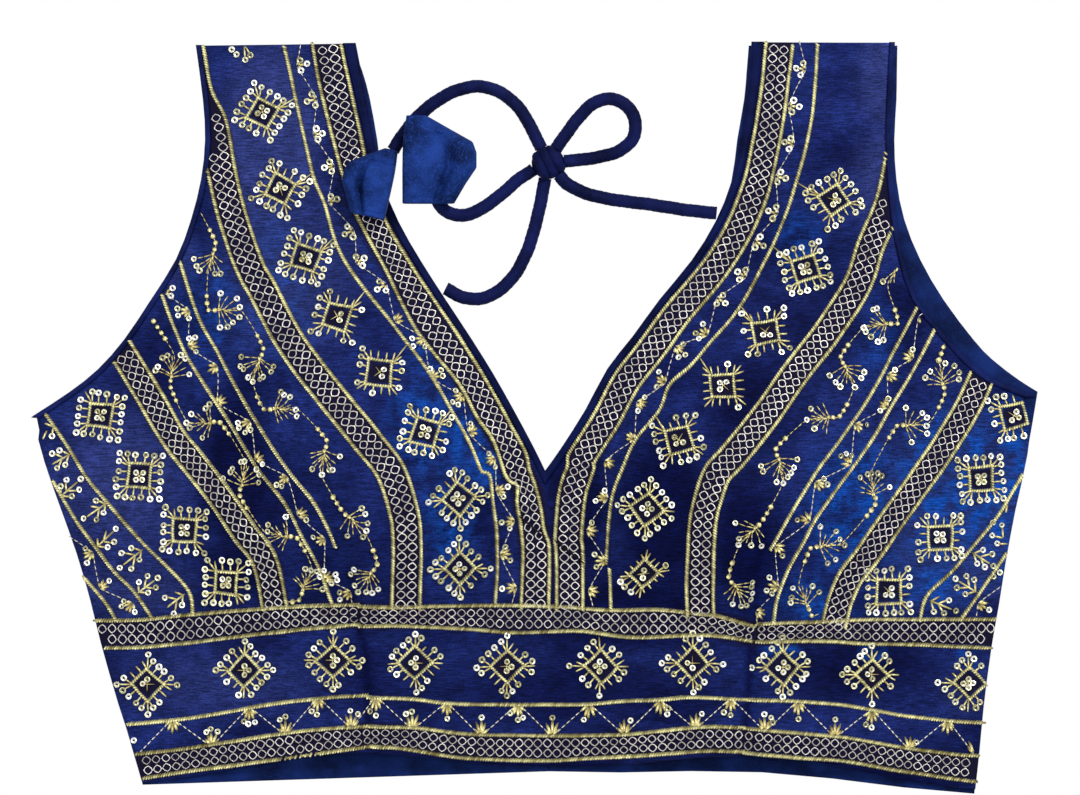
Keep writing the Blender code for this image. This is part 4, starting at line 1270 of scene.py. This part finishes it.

# Painted light and shade on the silk, in patches: a bright blue sheen, a pale grey sheen and shade. Each patch is its
# middle, half width, half height and strength
BLUE_SHEEN_PATCHES = [
    (150, -44, 34, 46, 0.8), (196, -34, 42, 52, 1), (220, -46, 26, 40, 1), (-24, -8, 26, 36, 0.9),
    (-52, -4, 24, 34, 0.6), (-40, -44, 18, 44, 0.6), (-24, 18, 16, 26, 0.6), (-48, 30, 20, 26, 0.35),
    (186, -78, 34, 18, 0.6), (124, 82, 16, 24, 0.4), (132, -88, 30, 22, 0.6), (160, 34, 14, 30, 0.3),
    (116, -108, 13, 5, 0.8), (159, -110, 10, 6, 0.8), (203, -113, 7, 9, 0.8), (222, -20, 26, 40, 0.7),
    (-120, 60, 24, 50, 0.25), (-152, 50, 22, 40, 0.3),
]
# Painted pale grey sheen, a haze of reflected light on the silk.
GREY_SHEEN_PATCHES = [
    (-124, 130, 34, 66, 1), (-178, 76, 26, 22, 0.8), (-196, -30, 46, 56, 0.6), (-150, -125, 70, 24, 0.35),
    (-116, 70, 46, 60, 0.6), (172, 112, 30, 40, 1), (170, 160, 26, 40, 1), (205, -128, 24, 18, 0.3),
    (-190, -80, 40, 24, 0.5), (-80, 120, 20, 50, 0.5), (200, -44, 60, 60, 0.8),
]
# Painted shade: on the slopes that face away from the light on the right, in folds, and between the patches of blue
# sheen.
SHADE_PATCHES = [
    (-140, -26, 24, 60, 1), (-134, -70, 30, 26, 0.7), (-100, -72, 26, 24, 0.5), (19, -38, 26, 70, 0.8),
    (60, -44, 36, 62, 0.9), (98, -58, 30, 58, 0.75), (100, 6, 36, 40, 0.75), (138, 40, 24, 40, 0.45),
    (177, 46, 22, 22, 0.45), (216, 17, 20, 20, 0.45), (-178, 17, 24, 24, 0.45), (99, 122, 20, 60, 0.3),
    (196, -34, 42, 52, 0.2), (20, -128, 150, 24, 0.5), (150, -118, 60, 26, 0.7), (-40, -168, 190, 16, 1),
    (120, -168, 130, 18, 1), (40, -92, 74, 26, 1),
]


def patchwork(patches, x, y):
    """How far each point lies in the patches, from 0 to 1."""
    shares = [strength * hump(np.hypot((x - patch_x) / wide, (y - patch_y) / high))
              for patch_x, patch_y, wide, high, strength in patches]
    return np.clip(1.6 * np.maximum.reduce(shares), 0, 1)


def crease_share(x, y):
    """1 along the middle of the narrow creases, which hold a shadow."""
    return np.maximum.reduce([fold_hump(crease, x, y, NARROW) for crease in CREASES if crease.half_width < NARROW])


def net_and_shade_share(x, y):
    """1 on the dark ground of the bands and squares, 0 elsewhere. That ground is partly dark net thread and partly
    painted shade round the raised embroidery.
    """
    share = np.zeros(len(x))
    for band in BANDS.values():
        first, _, middle = band_sides(band)
        edge = line_distance(*middle[len(middle) // 2][:, None], first)[0] + NET_MARGIN
        share = np.maximum(share, np.clip((edge - line_distance(x, y, thinned(middle, 24))) / NET_FADE, 0, 1))
    for square in SQUARES + DIAMONDS:
        away = turned(columns(x - square.x, y - square.y), 0, 0, -square.turn)
        share = np.maximum(share, np.clip(NET_HALF - np.abs(away).max(axis=1), 0, 1))
    return share


def add_front(silk):
    item = cloth_shell("front_cloth", silk, EMBROIDERED, *FRONT)
    x, y = np.array([vertex.co[:2] for vertex in item.data.vertices]).T / MM
    # Painted light and shade: patches of blue sheen, of pale grey sheen and of shade, with shadow along the narrow
    # creases.
    paint(item, "blue_sheen", patchwork(BLUE_SHEEN_PATCHES, x, y))
    paint(item, "grey_sheen", patchwork(GREY_SHEEN_PATCHES, x, y))
    # painted shade, from its patches and along the narrow creases
    paint(item, "dark_and_shade", np.maximum(patchwork(SHADE_PATCHES, x, y), crease_share(x, y)))
    paint(item, "net_and_shade", net_and_shade_share(x, y))
    return item


def add_embroidery():
    for points in ROPES.values():
        sew_rope(points)
    for band in BANDS.values():
        sew_band(band)
    for square in SQUARES + DIAMONDS:
        sew_square(square)
    for square in SQUARES:
        for name in ("left panel inner", "right panel inner"):
            if square.y > LOWEST_TIE:
                tie_square(square, ROPES[name])
    for chain in CHAINS.values():
        sew_chain(*chain)
    for zigzag in ZIGZAGS.values():
        sew_zigzag(*zigzag)
    for sprig in SPRIGS:
        sew_sprig(*sprig)
    sew_palmettes()
    # The dark pucker stitches, which also paint the fold's shadow.
    sew_threads(thread_and_fold_shadow, *zip(*PUCKERS), 1.1, 1.05)
    return [
        rope_zari.build("zari_ropes", metal_thread("zari_rope", 0.40)),
        zari.build("zari_stitches", metal_thread("zari", 0.38)),
        silver.build("silver_stitches", metal_thread("silver_thread", 0.38)),
        ring_thread.build("linked_rings", metal_thread("ring_thread", 0.42)),
        sequins.build("sequins", sequin_finish()),
        thread_and_fold_shadow.build("pucker_stitches_and_shadow", plain_silk("thread_and_fold_shadow")),
    ]


# ---- The ground, the light and the whole, in metres

GROUND_HALF = 4.0
GROUND_HEIGHT = -0.0006
SKY_STRENGTH = 0.42
# Each light's place, size and watts
LIGHTS = {
    "key": ((0.9, 1.2, 1.6), 0.5, 40),
    "fill": ((-1.3, -0.4, 1.5), 0.8, 14),
    "glint": ((0.2, 0.3, 2.3), 0.25, 8),
}


def add_ground():
    mesh = bpy.data.meshes.new("ground")
    mesh.from_pydata([(x, y, GROUND_HEIGHT) for x, y in GROUND_HALF * CORNERS], [], [(0, 1, 2, 3)])
    mesh.materials.append(ground_finish())
    ground = add_object("ground", mesh)
    return ground


def add_lighting():
    """A white sky, and square lights that face the blouse."""
    world = bpy.data.worlds.new("white")
    world.use_nodes = True
    background = world.node_tree.nodes["Background"]
    background.inputs["Color"].default_value = (1.0, 1.0, 1.0, 1.0)
    background.inputs["Strength"].default_value = SKY_STRENGTH
    bpy.context.scene.world = world
    for name, (place, size, power) in LIGHTS.items():
        data = bpy.data.lights.new(name, "AREA")
        data.size = size
        data.energy = power
        light = add_object(name, data)
        light.location = place
        light.rotation_euler = (-Vector(place)).to_track_quat("-Z", "Y").to_euler()
    bpy.context.scene.view_settings.view_transform = "Standard"


def main():
    add_camera()
    add_cords(plain_silk("cord_silk"), plain_silk("tassel_silk", sheen=0.02, deepest=0.40, palest=1.65, specks=0.75))
    front = add_front(embroidered_silk())
    binding = cloth_shell("neck_binding_cloth", plain_silk("binding_silk"), PLAIN, *BINDING)
    lighter, darker = plain_silk("piping_silk"), plain_silk("back_silk")
    piping_left, piping_right = (
        cloth_shell(piping[0].removeprefix("armhole_"), lighter, PLAIN, *piping) for piping in PIPINGS
    )
    back_left, back_right = (cloth_shell(f"{back[0]}_cloth", darker, PLAIN, *back) for back in BACKS)
    sewn = add_embroidery()
    ground = add_ground()
    add_lighting()


main()
